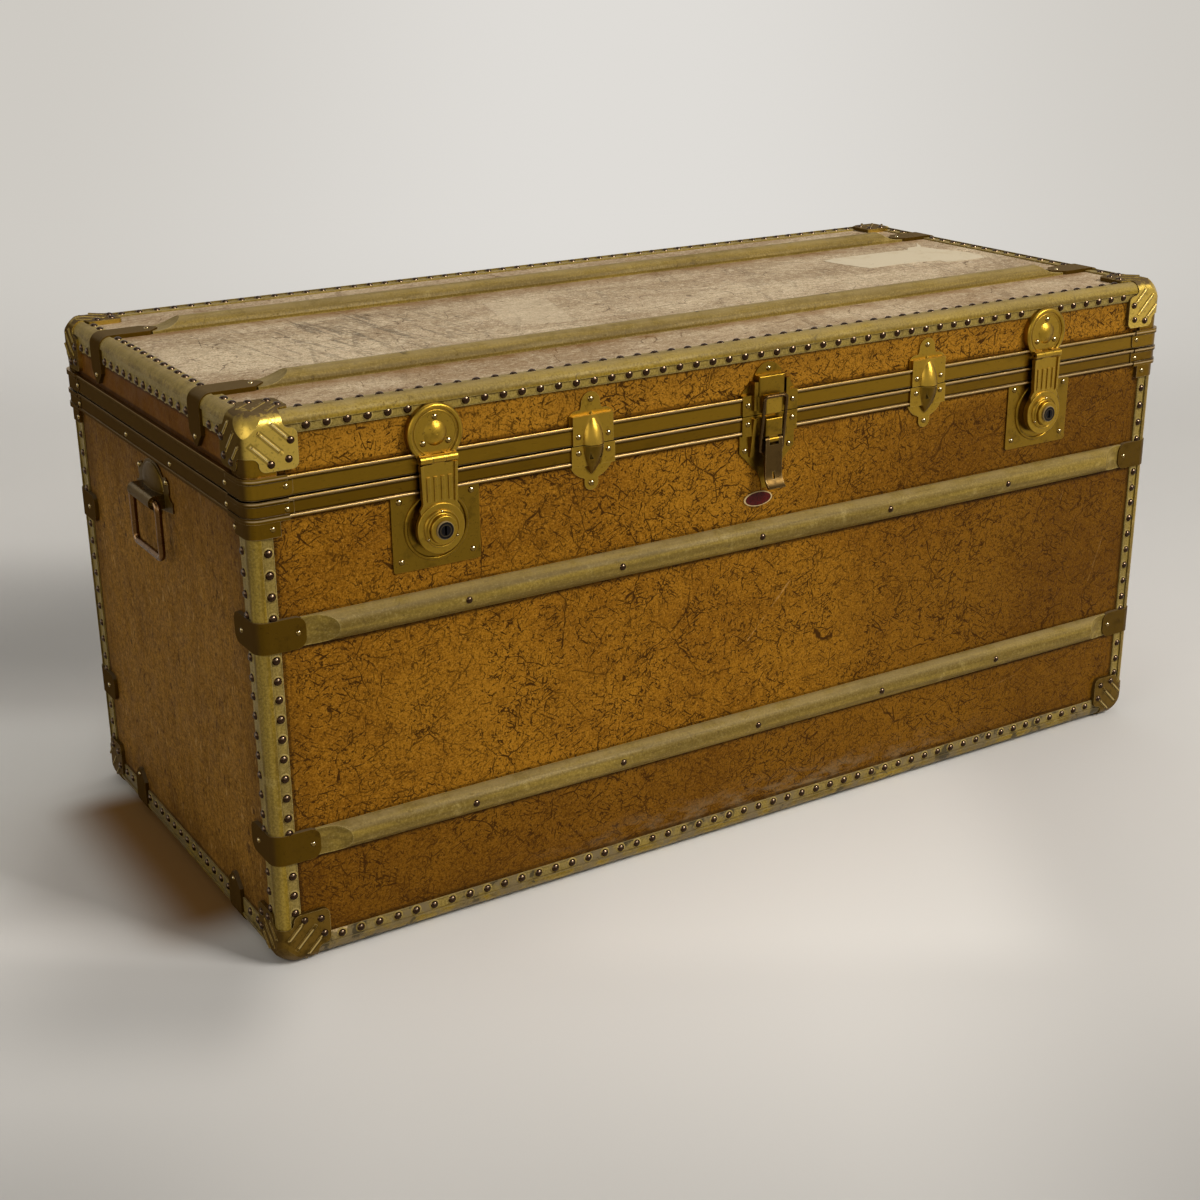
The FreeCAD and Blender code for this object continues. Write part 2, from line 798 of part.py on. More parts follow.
def make_lid_slats():
    rail = slat("lid_rail", HALF_LENGTH - size("lid_slat_inset"))
    place(rail, y=-LID_SLAT_Y, z=TOP_FACE, turn=Rotation(Vector(1, 0, 0), -90))
    return keep("lid_slats", both_ways("lid_rails", rail, "Y"))


def make_foot_slats():
    """The two runners that the trunk stands on."""
    body = new_body("runner")
    reach = HALF_LENGTH - size("lid_slat_inset")
    half = size("slat_width") / 2
    plan = body_sketch(body, "plan", "XY")
    outline(plan, rectangle(-reach, -FOOT_SLAT_Y - half, reach, -FOOT_SLAT_Y + half))
    slab = pad(body, "slab", plan, BOTTOM_FACE)
    soften(body, "Chamfer", "lower_edges", slab, lambda middle, run: near(middle.z, ZERO),
           size("slat_tip") / 2)
    return keep("body_bottom_slats", both_ways("runners", body, "Y"))


lid_slats = make_lid_slats()
foot_slats = make_foot_slats()

# Straps that wrap an edge and hold the end of a slat


def strap(name, section, plane, level, width, nose_edge, kind, nose):
    body = new_body(name)
    sketch = body_sketch(body, "section", plane, level)
    outline(sketch, section)
    bent = pad(body, "bent", sketch, width)
    soften(body, kind, "nose", bent, nose_edge, nose)
    return body


def make_slat_straps():
    reach = size("strap_reach")
    end_reach = size("strap_end_reach")
    width = size("strap_width")
    section = at_corner(strap_section(reach, end_reach, size("gauge")), -HALF_LENGTH, -HALF_DEPTH)

    def nose_edge(middle, run):
        front = near(middle.x, -HALF_LENGTH + reach) and abs(run.z) < NEAR
        end = near(middle.y, -HALF_DEPTH + end_reach) and abs(run.z) < NEAR
        return front or end

    straps = []
    for level, height in SLAT_LEVELS.items():
        straps.append(strap(f"{level}_strap", section, "XY", height - width / 2, width, nose_edge,
                            "Fillet", size("strap_nose")))
    wrapped = four_ways("straps", group("strap_pair", straps))
    under = group("under_straps", [parts["body_upright_bindings"], front_slats, back_slats])
    return keep("body_slat_straps", cut("seated_straps", wrapped, under))


def end_strap(name, flip, spread, drop):
    """A pointed strap over a top or bottom end edge, at one slat."""
    reach = size("lid_strap_reach")
    width = size("strap_width")
    corner = CASE_TOP if flip else CASE_FOOT
    shape = strap_section(reach, drop, size("gauge"))
    section = (at_top if flip else at_corner)(shape, -HALF_LENGTH, corner)
    tip = corner - drop if flip else corner + drop

    def nose_edge(middle, run):
        flat = near(middle.x, -HALF_LENGTH + reach) and abs(run.y) < NEAR
        hanging = near(middle.z, tip) and abs(run.y) < NEAR
        return flat or hanging

    return strap(name, section, "XZ", spread - width / 2, width, nose_edge, "Chamfer",
                 size("strap_point"))


def make_end_straps():
    drop = size("lid_strap_drop")
    top = four_ways("top_straps", end_strap("top_strap", True, LID_SLAT_Y, drop))
    under = group("under_top_straps", [parts["lid_top_bindings"], lid_slats])
    keep("lid_slat_straps", cut("seated_top_straps", top, under))
    foot = four_ways("foot_straps", end_strap("foot_strap", False, FOOT_SLAT_Y, drop))
    under = group("under_foot_straps", [parts["body_bottom_bindings"], foot_slats])
    keep("body_bottom_straps", cut("seated_foot_straps", foot, under))


slat_straps = make_slat_straps()
make_end_straps()

# Band corner clamps


def band_clamp(name, low_z, high_z, ribs, plate_low, plate_high, plate_lift):
    """A clamp round one corner of a band, with a plate that runs on along the edge."""
    body = new_body(name)
    reach = size("clamp_band_reach")
    lift = size("band_proud") - BEAD + size("gauge")
    rib_lift = lift + size("rib_proud") - size("band_proud")

    def wrap(label, leg, rise, low, high):
        sketch = body_sketch(body, label, "XY", low)
        outline(sketch, at_corner(strap_section(leg, leg, rise), -HALF_LENGTH, -HALF_DEPTH))
        return pad(body, f"{label}_wrap", sketch, high - low)

    def nose_edge(middle, run):
        front = near(middle.x, -HALF_LENGTH + reach) and abs(run.z) < NEAR
        end = near(middle.y, -HALF_DEPTH + reach) and abs(run.z) < NEAR
        return front or end

    base = wrap("strip", reach, lift, low_z, high_z)
    soften(body, "Fillet", "nose", base, nose_edge, size("strap_nose") / 2)
    doc.recompute()
    for number, (rib_low, rib_high) in enumerate(ribs):
        wrap(f"rib_{number}", reach - size("strap_nose") / 2, rib_lift, rib_low, rib_high)
    wrap("plate", size("clamp_plate_reach"), plate_lift, plate_low, plate_high)
    return four_ways(f"{name}s", body)


def make_band_clamps():
    low, high = SEAM - BAND_HIGH, SEAM - BAND_LOW
    gauge = size("gauge")
    ribs = [(low - gauge, low + RIB + gauge), (high - RIB - gauge, high)]
    raw = band_clamp("body_clamp", low, high, ribs, SEAM - size("body_clamp_drop"), low, gauge)
    under = group("under_body_clamps", [body_band, parts["body_upright_bindings"]])
    keep("body_band_clamps", cut("seated_body_clamps", raw, under))
    low, high = SEAM + BAND_LOW, SEAM + BAND_HIGH
    ribs = [(high - RIB - gauge, high + gauge)]
    raw = band_clamp("lid_clamp", low, high, ribs, high, SEAM + size("lid_clamp_rise"), ZERO)
    keep("lid_band_clamps", cut("seated_lid_clamps", raw, lid_band))


make_band_clamps()

# Corner caps: three lobed faces round one ball corner, with three rolled beads on each face


def cap_lobe(name, turn):
    """One face's lobed outline, pushed in past the round of the corner."""
    edge = size("cap_edge")
    lobe = size("cap_lobe")
    neck = size("cap_neck")
    curl = (lobe - edge) / 2
    nose = size("cap_round")
    out = size("cap_gauge") + OVER
    corners = [
        (-out, -out), (edge, -out), (edge, neck), (edge + curl, neck + curl, curl, -1),
        (lobe, neck + curl * 2, curl, 1), (lobe, lobe - nose), (lobe - nose, lobe, nose, 1),
        (neck + curl * 2, lobe), (neck + curl, edge + curl, curl, 1), (neck, edge, curl, -1),
        (-out, edge),
    ]
    solid = prism(name, corners, "XZ", -BINDING_ROUND - OVER, BINDING_ROUND + OVER * 2 + out)
    return place(solid, turn=Rotation(Vector(1, 1, 1), turn))


def cap_bead(name, across, up, length, turn):
    """A straight bead on the front face that points at 45 degrees away from the edges."""
    level = size("cap_gauge") - size("cap_bead_sink")
    bar = doc.addObject("Part::Cylinder", name)
    bind(bar, "Radius", size("cap_bead_radius"))
    bind(bar, "Height", length)
    place(bar, across, -level, up, turn=Rotation(Vector(0, 1, 0), 45))
    return place(group(f"{name}_turned", [bar]), turn=Rotation(Vector(1, 1, 1), turn))


def raw_cap():
    """The cap in corner coordinates, with all three edges running positive from the corner.

    Its ball runs out into the round of each edge a little before the ball's reach ends.
    """
    out = size("cap_gauge")
    reach = size("cap_lobe") + OVER

    def corner_block(name, near_side, edge_round):
        body = new_body(name)
        plan = body_sketch(body, "plan", "XY", near_side)
        outline(plan, rectangle(near_side, near_side, reach, reach))
        block = pad(body, "block", plan, reach - near_side)

        def corner_edge(middle, run):
            low = [near(value, near_side) for value in (middle.x, middle.y, middle.z)]
            return sum(low) == 2

        soften(body, "Fillet", "ball", block, corner_edge, edge_round)
        return body

    ball = doc.addObject("Part::Sphere", "cap_ball")
    bind(ball, "Radius", (BALL - BINDING_ROUND) * math.sqrt(2) + BINDING_ROUND + out + size("cap_ball_ease"))
    place(ball, BALL, BALL, BALL)
    beyond = cut("cap_beyond_ball", box("cap_ball_block", (-out,) * 3, (BALL,) * 3), ball)
    outside = cut("cap_rounded", corner_block("cap_outside", -out, BINDING_ROUND + out), beyond)
    shell = cut("cap_shell", outside, corner_block("cap_inside", BEAD, INNER_ROUND))
    lobes = []
    beads = []
    short_far = size("cap_short_level")
    for number, turn in enumerate((0, 120, 240)):
        lobes.append(cap_lobe(f"cap_lobe_{number}", turn))
        start = size("cap_long_start")
        beads.append(cap_bead(f"cap_long_{number}", start, start, size("cap_long_bead"), turn))
        start = size("cap_short_start")
        beads.append(cap_bead(f"cap_side_{number}", start, short_far, size("cap_short_bead"), turn))
        beads.append(cap_bead(f"cap_rise_{number}", short_far, start, size("cap_short_bead"), turn))
    stamped = common("cap_stamped", [shell, fuse("cap_lobes", lobes)])
    return fuse("cap_with_beads", [stamped] + beads)


def make_caps():
    corner = group("cap_corner", [raw_cap()])
    place(corner, -HALF_LENGTH, -HALF_DEPTH, CASE_FOOT)
    low = four_ways("foot_caps", corner)
    high = mirror("top_caps", low, "Z", CASE_FOOT + size("case_height") / 2)
    under = group("under_foot_caps", [parts["body_bottom_bindings"], parts["body_upright_bindings"]])
    keep("body_corner_caps", cut("seated_foot_caps", low, under))
    under = group("under_top_caps", [parts["lid_top_bindings"], parts["lid_band_clamps"]])
    keep("lid_corner_caps", cut("seated_top_caps", high, under))


make_caps()

# Front hardware is drawn with y = 0 on the cover sheet and z = 0 on the seam


def out_box(name, low_x, high_x, low_z, high_z, low_out, high_out):
    """A block between two distances out from the face."""
    return box(name, (low_x, -high_out, low_z), (high_x, -low_out, high_z))


def centre_box(name, half, low_z, high_z, low_out, high_out):
    return out_box(name, -half, half, low_z, high_z, low_out, high_out)


def centre_rod(name, radius, half, out, level):
    """A round bar along X, centred on x = 0."""
    return rod(name, radius, half * 2, (-half, -out, level))


def on_front(piece, x=ZERO):
    return place(piece, x, -FRONT_FACE, SEAM)


def twins(name, left):
    """Keeps a piece on the left and its mirror image on the right."""
    keep(f"left_{name}", left)
    keep(f"right_{name}", mirror(f"right_{name}_mirror", left, "X"))


# Locks

AXIS_RISE = size("hasp_axis_rise")
AXIS_OUT = size("hasp_axis_proud")
LOCK_X = -HALF_LENGTH + size("lock_inset")
KNUCKLE_CLEAR = size("hasp_knuckle") + CLEAR


def lock_plate():
    """Plate with a rolled ring, and the slotted keeper that the hasp's bolt enters."""
    body = new_body("lock_plate")
    half = size("lock_plate_width") / 2
    top = -BAND_HIGH
    foot = top - size("lock_plate_height")
    corner = size("lock_plate_corner")
    plan = body_sketch(body, "plan", "XZ")
    outline(plan, [
        (half - corner, foot), (half, foot + corner, corner, 1), (half, top), (-half, top),
        (-half, foot + corner), (-half + corner, foot, corner, 1),
    ])
    pad(body, "sheet", plan, size("plate_gauge"))
    drop = -size("lock_drop")
    bead = size("lock_ring_bead")
    ring = body_sketch(body, "ring", "XZ", size("plate_gauge"))
    circle(ring, size("lock_ring_radius") + bead, ZERO, drop)
    circle(ring, size("lock_ring_radius") - bead, ZERO, drop)
    rolled = pad(body, "ring_bead", ring, bead)

    def crest(middle, run):
        return near(middle.y, -size("plate_gauge") - bead)

    soften(body, "Fillet", "rolled", rolled, crest, bead * 0.8)
    doc.recompute()
    boss = body_sketch(body, "boss", "XZ", size("plate_gauge"))
    circle(boss, size("keeper_radius"), ZERO, drop)
    pad(body, "keeper", boss, size("keeper_height"))
    slot = body_sketch(body, "slot", "XZ", size("plate_gauge") + size("keeper_height"))
    half_slot = size("keeper_slot") / 2
    reach = size("keeper_radius") * 0.7
    outline(slot, rectangle(-reach, drop - half_slot, reach, drop + half_slot))
    pocket(body, "keeper_slot", slot, size("keeper_height") * 0.8)
    return on_front(body, LOCK_X)


def strike_disc():
    """A spun disc on the lid that carries the outer knuckles of the hasp's hinge."""
    radius = size("strike_radius")
    crest = size("strike_crest")
    level = size("strike_level")
    rim = size("strike_rim")
    dome = size("strike_dome_radius")
    roll = crest - rim
    step = crest - level
    profile = doc.addObject("Sketcher::SketchObject", "strike_profile")
    outline(profile, [
        (ZERO, ZERO), (radius, ZERO), (radius, -rim), (radius - roll, -crest, roll, -1),
        (radius - roll - step, -level, step, -1), (dome, -level),
        (ZERO, -level - size("strike_dome"), arc_radius(dome * 2, size("strike_dome")), -1),
    ])
    spun = doc.addObject("Part::Revolution", "strike_spun")
    spun.Source = profile
    spun.Axis = Vector(0, 1, 0)
    spun.Solid = True
    disc = place(group("strike_raised", [spun]), z=size("strike_rise"))
    half = size("hasp_width") / 2
    knuckle = size("hasp_knuckle")
    inner = size("hasp_middle") / 2 + CLEAR
    back = size("rib_proud") + CLEAR
    above = AXIS_RISE + KNUCKLE_CLEAR
    room = centre_box("hasp_room", half + OVER, ZERO, above, back, crest + OVER)
    neck = centre_box("strike_neck", half, above, size("strike_rise"), back, level)
    pieces = [cut("strike_cleared", disc, room), neck]
    for side, start, end in (("left", -half, -inner), ("right", inner, half)):
        pieces.append(rod(f"strike_knuckle_{side}", knuckle, end - start,
                          (start, -AXIS_OUT, AXIS_RISE)))
        pieces.append(out_box(f"strike_web_{side}", start, end, AXIS_RISE, above, back, AXIS_OUT))
    solid = fuse("strike_solid", pieces)
    bored = cut("strike_bored", solid, centre_rod("strike_bore", size("hasp_pin") + FIT, half + OVER,
                                                  AXIS_OUT, AXIS_RISE))
    placed = on_front(group("strike_placed", [bored]), LOCK_X)
    under = group("under_strike", [lid_band, parts["lid_top_bindings"]])
    return cut("strike_seated", placed, under)


def hasp():
    """Arm with raised sides and four beads, and a stepped round head bored for the key plug."""
    body = new_body("hasp")
    half = size("hasp_width") / 2
    top = AXIS_RISE - KNUCKLE_CLEAR - CLEAR
    drop = -size("lock_drop")
    back = size("hasp_back")
    front = back + size("hasp_thick")
    low = drop + size("hasp_head_radius")
    waist = size("hasp_waist") / 2
    flare = size("hasp_flare")
    arm = body_sketch(body, "arm", "XZ", back)
    outline(arm, both_sides([
        (ZERO, top), (half, top), (waist, low + flare / 2), (waist + flare / 4, low - flare / 2, flare, 1),
        (waist, drop), (ZERO, drop),
    ]))
    pad(body, "arm_plate", arm, size("hasp_thick"))
    head = body_sketch(body, "head", "XZ", back)
    circle(head, size("hasp_head_radius"), ZERO, drop)
    rim = pad(body, "head_plate", head, size("hasp_head_thick"))

    def head_edge(middle, run):
        return near(middle.y, -back - size("hasp_head_thick"))

    soften(body, "Fillet", "head_round", rim, head_edge, size("hasp_round") * 0.7)
    doc.recompute()
    side = size("hasp_side")
    sides = body_sketch(body, "sides", "XZ", front)
    for sign in (-1, 1):
        outline(sides, [(half * sign, top), ((half - side) * sign, top), ((waist - side) * sign, low),
                        (waist * sign, low)])
    pad(body, "raised_sides", sides, size("hasp_side_rise"))
    pitch = size("hasp_bead_pitch")
    bead = size("hasp_bead_width") / 2
    ribs = body_sketch(body, "bead", "XZ", front)
    first = -pitch * 1.5
    bead_low = low + size("hasp_bead_width") * 0.7
    outline(ribs, rectangle(first - bead, bead_low, first + bead, bead_low + size("hasp_bead_length")))
    rib = pad(body, "first_bead", ribs, size("hasp_bead_rise"))
    row = body.newObject("PartDesign::LinearPattern", "hasp_beads")
    row.Originals = [rib]
    row.Direction = (ribs, ["H_Axis"])
    row.Occurrences = 4
    bind(row, "Length", pitch * 3)
    body.Tip = row
    doc.recompute()
    face = back + size("hasp_head_thick")
    ring = body_sketch(body, "ring", "XZ", face)
    circle(ring, size("hasp_ring_radius"), ZERO, drop)
    pad(body, "step", ring, size("hasp_ring_rise"))
    dome = body_sketch(body, "dome", "XZ", face + size("hasp_ring_rise"))
    circle(dome, size("hasp_dome_radius"), ZERO, drop)
    raised = pad(body, "dome_boss", dome, size("hasp_dome_rise"))
    crown = face + size("hasp_ring_rise") + size("hasp_dome_rise")

    def dome_edge(middle, run):
        return near(middle.y, -crown) or near(middle.y, -face - size("hasp_ring_rise"))

    soften(body, "Fillet", "dome_round", raised, dome_edge, size("hasp_round"))
    doc.recompute()
    middle_half = size("hasp_middle") / 2
    barrel = body_sketch(body, "barrel", "YZ", -middle_half)
    circle(barrel, size("hasp_knuckle"), -AXIS_OUT, AXIS_RISE)
    pad(body, "knuckle", barrel, middle_half * 2)
    web = body_sketch(body, "web", "YZ", -middle_half)
    outline(web, rectangle(-front, top, -back, AXIS_RISE))
    pad(body, "knuckle_web", web, middle_half * 2)
    pin = body_sketch(body, "pin_hole", "YZ", -middle_half)
    circle(pin, size("hasp_pin") + FIT, -AXIS_OUT, AXIS_RISE)
    pocket(body, "pin_bore", pin)
    recess = body_sketch(body, "recess", "XZ", back)
    circle(recess, size("hasp_ring_radius"), ZERO, drop)
    pocket(body, "back_recess", recess, size("hasp_recess"), True)
    case = body_sketch(body, "case", "XZ", size("hasp_case_back"))
    circle(case, size("hasp_case_radius"), ZERO, drop)
    circle(case, size("hasp_case_radius") - size("hasp_case_wall"), ZERO, drop)
    pad(body, "lock_case", case, back - size("hasp_case_back"))
    bore = body_sketch(body, "plug_hole", "XZ", back)
    circle(bore, size("plug_radius") + FIT, ZERO, drop)
    pocket(body, "plug_bore", bore)
    return on_front(body, LOCK_X)


def key_plug():
    """The turning barrel in the hasp's head, with its key slot."""
    body = new_body("key_plug")
    drop = -size("lock_drop")
    start = size("hasp_back") + size("plug_inset")
    front = start + size("plug_length")
    disc = body_sketch(body, "disc", "XZ", start)
    circle(disc, size("plug_radius"), ZERO, drop)
    barrel = pad(body, "barrel", disc, size("plug_length"))
    soften(body, "Chamfer", "edge", barrel, lambda middle, run: near(middle.y, -front),
           size("plug_sink"))
    doc.recompute()
    slot = body_sketch(body, "slot", "XZ", front)
    half = size("key_slot") / 2
    reach = size("key_slot_length") / 2
    outline(slot, rectangle(-half, drop - reach, half, drop + reach))
    pocket(body, "key_way", slot, size("key_slot") * 2)
    return on_front(body, LOCK_X)


twins("lock_plate", lock_plate())
twins("strike_disc", strike_disc())
twins("hasp", hasp())
twins("key_plug", key_plug())
hasp_pin = on_front(group("hasp_pin", [centre_rod("hasp_pin_rod", size("hasp_pin"),
                                                  size("hasp_width") / 2, AXIS_OUT, AXIS_RISE)]), LOCK_X)
keep("hasp_pins", both_ways("hasp_pin_pair", hasp_pin, "X"))

# Dowels: an almond boss split at the seam, with a tongue above and a socket below

DOWEL_X = LOCK_X + size("dowel_to_lock")
GAUGE = size("plate_gauge")
BRIDGE = size("bridge_level")
BRIDGE_REACH = size("bridge_reach")
HALF_GAP = size("seam_gap") / 2


def almond(name, low, high):
    """The part of a pointed spindle between two heights, in front of the face."""
    half = size("almond_half")
    radius = size("almond_radius")
    curve = arc_radius(half * 2, radius)
    sketch = doc.addObject("Sketcher::SketchObject", f"{name}_profile")
    sketch.Placement = Placement(Vector(), PLANES["XZ"])
    outline(sketch, [(ZERO, -half), (radius, ZERO, curve, 1), (ZERO, half, curve, 1)])
    spun = doc.addObject("Part::Revolution", f"{name}_spun")
    spun.Source = sketch
    spun.Axis = Vector(0, 0, 1)
    spun.Solid = True
    sunk = place(group(f"{name}_sunk", [spun]), y=-(BRIDGE - size("almond_sink")))
    wall = centre_box(f"{name}_room", radius + OVER, low, high, ZERO, BRIDGE + radius)
    return common(name, [sunk, wall])


def bridged_plate(name, corners, half, low, high):
    """A plate on the face whose part near the seam steps up over the band."""
    plate = prism(f"{name}_plate", corners, "XZ", ZERO, GAUGE)
    return [plate, centre_box(f"{name}_bridge", half, low, high, ZERO, BRIDGE)]


def dowel_tongue():
    half = size("dowel_half")
    rise = size("dowel_rise")
    shoulder = size("dowel_shoulder")
    lobe = size("dowel_lobe")
    corners = both_sides([
        (ZERO, rise), (lobe, rise - lobe, lobe, -1), (lobe + OVER, shoulder + OVER * 2, lobe, 1),
        (half - OVER, shoulder + OVER, lobe, -1), (half, shoulder), (half, HALF_GAP), (ZERO, HALF_GAP),
    ])
    pieces = bridged_plate("tongue", corners, half - GAUGE, HALF_GAP, shoulder)
    pieces.append(almond("tongue_almond", HALF_GAP, size("almond_half")))
    low = size("tongue_low")
    pieces.append(centre_box("tongue_blade", size("tongue_half"), -size("tongue_length"),
                             size("tongue_half"), low, low + size("tongue_thick")))
    placed = on_front(group("tongue_placed", [fuse("tongue_solid", pieces)]), DOWEL_X)
    return cut("tongue_seated", placed, lid_band)


def dowel_socket():
    half = size("dowel_half")
    drop = size("dowel_drop")
    lobe = size("dowel_foot_lobe")
    corners = both_sides([
        (ZERO, -HALF_GAP), (half, -HALF_GAP), (half, -BAND_HIGH),
        (lobe, -drop + lobe * 1.6, half, -1), (lobe, -drop + lobe), (ZERO, -drop, lobe, -1),
    ])
    pieces = bridged_plate("socket", corners, half, -BRIDGE_REACH, -HALF_GAP)
    pieces.append(almond("socket_almond", -size("almond_half"), -HALF_GAP))
    play = size("tongue_play")
    low = size("tongue_low") - play
    high = size("tongue_low") + size("tongue_thick") + play
    mouth = centre_box("socket_mouth", size("tongue_half") + play,
                       -size("tongue_length") - play, ZERO, low, high)
    hollow = cut("socket_hollow", fuse("socket_solid", pieces), mouth)
    placed = on_front(group("socket_placed", [hollow]), DOWEL_X)
    return cut("socket_seated", placed, body_band)


twins("dowel_tongue", dowel_tongue())
twins("dowel_socket", dowel_socket())

# Centre draw-bolt latch

LEVER_Z = -size("lever_axis_drop")
LEVER_OUT = size("lever_axis_proud")
LUG_HALF = size("lug_half")
PIVOT_Z = LEVER_Z - size("bail_pivot_drop")
PIVOT_OUT = LEVER_OUT - size("bail_pivot_back")


def rounded_block(name, half, low_z, high_z, high_out, radius):
    """A block on the face with its outer edges rounded."""
    body = new_body(name)
    plan = body_sketch(body, "plan", "XZ")
    outline(plan, rectangle(-half, low_z, half, high_z))
    block = pad(body, "block", plan, high_out)
    soften(body, "Fillet", "edges", block, lambda middle, run: near(middle.y, -high_out), radius)
    return body


def side_ribs(name, high_z, low_z, start_out, end_out):
    """Two raised ribs beside the latch that may slope down away from the seam."""
    inner = size("latch_rib_in")
    width = size("latch_rib_out") - inner
    slope = [(ZERO, low_z), (ZERO, high_z), (-start_out, high_z), (-end_out, low_z)]
    ribs = []
    for side, start in (("left", -inner - width), ("right", inner)):
        ribs.append(prism(f"{name}_rib_{side}", slope, "YZ", start, width))
    return ribs


def latch_catch():
    """Lid plate and the hook lug on it that the bail draws on."""
    half = size("latch_half")
    rise = size("latch_rise")
    lobe = size("latch_lobe")
    flap = size("latch_flap")
    corners = both_sides([
        (ZERO, rise), (lobe, rise - lobe * 0.75, lobe * 1.05, -1), (lobe, rise - lobe),
        (half, flap, half, -1), (half, HALF_GAP), (ZERO, HALF_GAP),
    ])
    pieces = bridged_plate("catch", corners, half, HALF_GAP, BRIDGE_REACH)
    pieces.append(rounded_block("catch_block", size("latch_block_half"), size("lug_top"),
                                size("latch_block_top"), size("latch_block_level"), GAUGE))
    rib_level = size("latch_rib_level")
    pieces += side_ribs("catch", size("latch_block_top") - GAUGE * 3, GAUGE * 3, rib_level, rib_level)
    plate = on_front(group("catch_placed", [fuse("catch_solid", pieces)]))
    lug = on_front(rounded_block("catch_lug", LUG_HALF, HALF_GAP, size("lug_top"), size("lug_level"), GAUGE))
    keep("latch_catch_plate", cut("catch_seated", plate, lid_band))
    keep("latch_catch_lug", cut("lug_seated", lug, group("under_lug", [lid_band, plate])))


def latch_base():
    """Body plate and the bracket on it, whose middle knuckle carries the lever."""
    half = size("latch_half")
    drop = size("latch_drop")
    flap = -size("latch_rib_out") * 2
    corners = both_sides([
        (ZERO, -HALF_GAP), (half, -HALF_GAP), (half, flap + GAUGE * 3),
        (size("latch_rib_in"), -drop + half * 0.7), (GAUGE * 3, -drop, half, 1), (ZERO, -drop),
    ])
    pieces = bridged_plate("base", corners, half, -BRIDGE_REACH, -HALF_GAP)
    knuckle = size("lever_knuckle")
    middle_half = size("lever_middle") / 2
    level = size("housing_level")
    bottom = -size("housing_bottom")
    pieces += side_ribs("base", -size("housing_top"), flap, size("latch_rib_level"), GAUGE * 2)
    plate = on_front(group("base_placed", [fuse("base_solid", pieces)]))
    keep("latch_base_plate", cut("base_seated", plate, body_band))
    bracket = fuse("bracket_solid", [
        rounded_block("housing", LUG_HALF, bottom, -size("housing_top"), level, GAUGE),
        centre_rod("bracket_knuckle", knuckle, middle_half, LEVER_OUT, LEVER_Z),
        centre_box("bracket_web", middle_half, LEVER_Z, bottom + GAUGE,
                   LEVER_OUT - knuckle, LEVER_OUT + knuckle - GAUGE),
    ])
    bore = centre_rod("bracket_bore", size("lever_pin") + FIT, half, LEVER_OUT, LEVER_Z)
    placed = on_front(group("bracket_placed", [cut("bracket_bored", bracket, bore)]))
    keep("latch_lever_bracket", cut("bracket_seated", placed, group("under_bracket", [body_band, plate])))


def latch_lever():
    """A curled tongue whose lugs carry the bail below its own hinge line."""
    body = new_body("lever")
    knuckle = size("lever_knuckle")
    gauge = size("lever_gauge")
    length = size("lever_length")
    curl = size("lever_curl")
    outer = LEVER_OUT + knuckle
    lug_back = PIVOT_OUT - size("bail_wire") - GAUGE
    lug_low = PIVOT_Z - size("bail_wire") - GAUGE
    lug_high = PIVOT_Z + size("bail_wire") + GAUGE
    tip = LEVER_Z - length
    bend = tip + curl * 2
    side = body_sketch(body, "side", "YZ", -LUG_HALF)
    outline(side, [
        (-LEVER_OUT + knuckle, LEVER_Z), (-LEVER_OUT, LEVER_Z + knuckle, knuckle, 1),
        (-outer, LEVER_Z, knuckle, 1), (-outer, bend),
        (-outer - curl, tip, curl * 2.4, -1), (-outer - curl + gauge, tip - gauge * 0.6),
        (-outer + gauge, bend, curl * 2.4 + gauge, 1),
        (-outer + gauge, lug_low), (-lug_back, lug_low), (-lug_back, lug_high),
    ][::1])
    pad(body, "tongue", side, LUG_HALF * 2)
    gap = body_sketch(body, "gap", "XZ")
    reach = size("lever_middle") / 2 + CLEAR
    outline(gap, rectangle(-reach, LEVER_Z - knuckle - GAUGE, reach, LEVER_Z + knuckle + OVER))
    pocket(body, "knuckle_gap", gap)
    holes = body_sketch(body, "holes", "YZ")
    circle(holes, size("lever_pin") + FIT, -LEVER_OUT, LEVER_Z)
    circle(holes, size("bail_wire") + FIT, -PIVOT_OUT, PIVOT_Z)
    pocket(body, "pin_holes", holes)
    slot = body_sketch(body, "slot", "XZ")
    outline(slot, rectangle(-gauge * 0.6, tip + curl, gauge * 0.6, bend))
    pocket(body, "thumb_slot", slot)
    return keep("latch_lever", on_front(body))


def latch_bail():
    """A wire loop over the lug, leaning out to stand just clear of it."""
    body = new_body("bail")
    wire = size("bail_wire")
    half = size("bail_half")
    high = size("bail_height")
    bend = size("bail_bend")
    foot_bend = half - LUG_HALF - CLEAR
    path = body_sketch(body, "path", "XZ")
    outline(path, [
        (half - size("bail_pin"), ZERO), (half - foot_bend, ZERO), (half, foot_bend, foot_bend, 1),
        (half, high - bend), (half - bend, high, bend, 1), (-half + bend, high),
        (-half, high - bend, bend, 1), (-half, foot_bend), (-half + foot_bend, ZERO, foot_bend, 1),
        (-half + size("bail_pin"), ZERO),
    ], closed=False)
    section = body_sketch(body, "section", "YZ", half - size("bail_pin"))
    circle(section, wire)
    pipe = feature(body, "AdditivePipe", "wire", section)
    pipe.Spine = (path, [f"Edge{number}" for number in range(1, 10)])
    top_out = size("lug_level") + wire + CLEAR * 1.5
    lean = f"atan({(top_out - PIVOT_OUT).text} / {high.text})"
    body.Placement = Placement(Vector(), Rotation(Vector(1, 0, 0), 1))
    body.setExpression("Placement.Rotation.Angle", lean)
    for axis, length in zip("xyz", (ZERO, -FRONT_FACE - PIVOT_OUT, SEAM + PIVOT_Z)):
        bind(body, f"Placement.Base.{axis}", length)
    return keep("latch_bail", body)


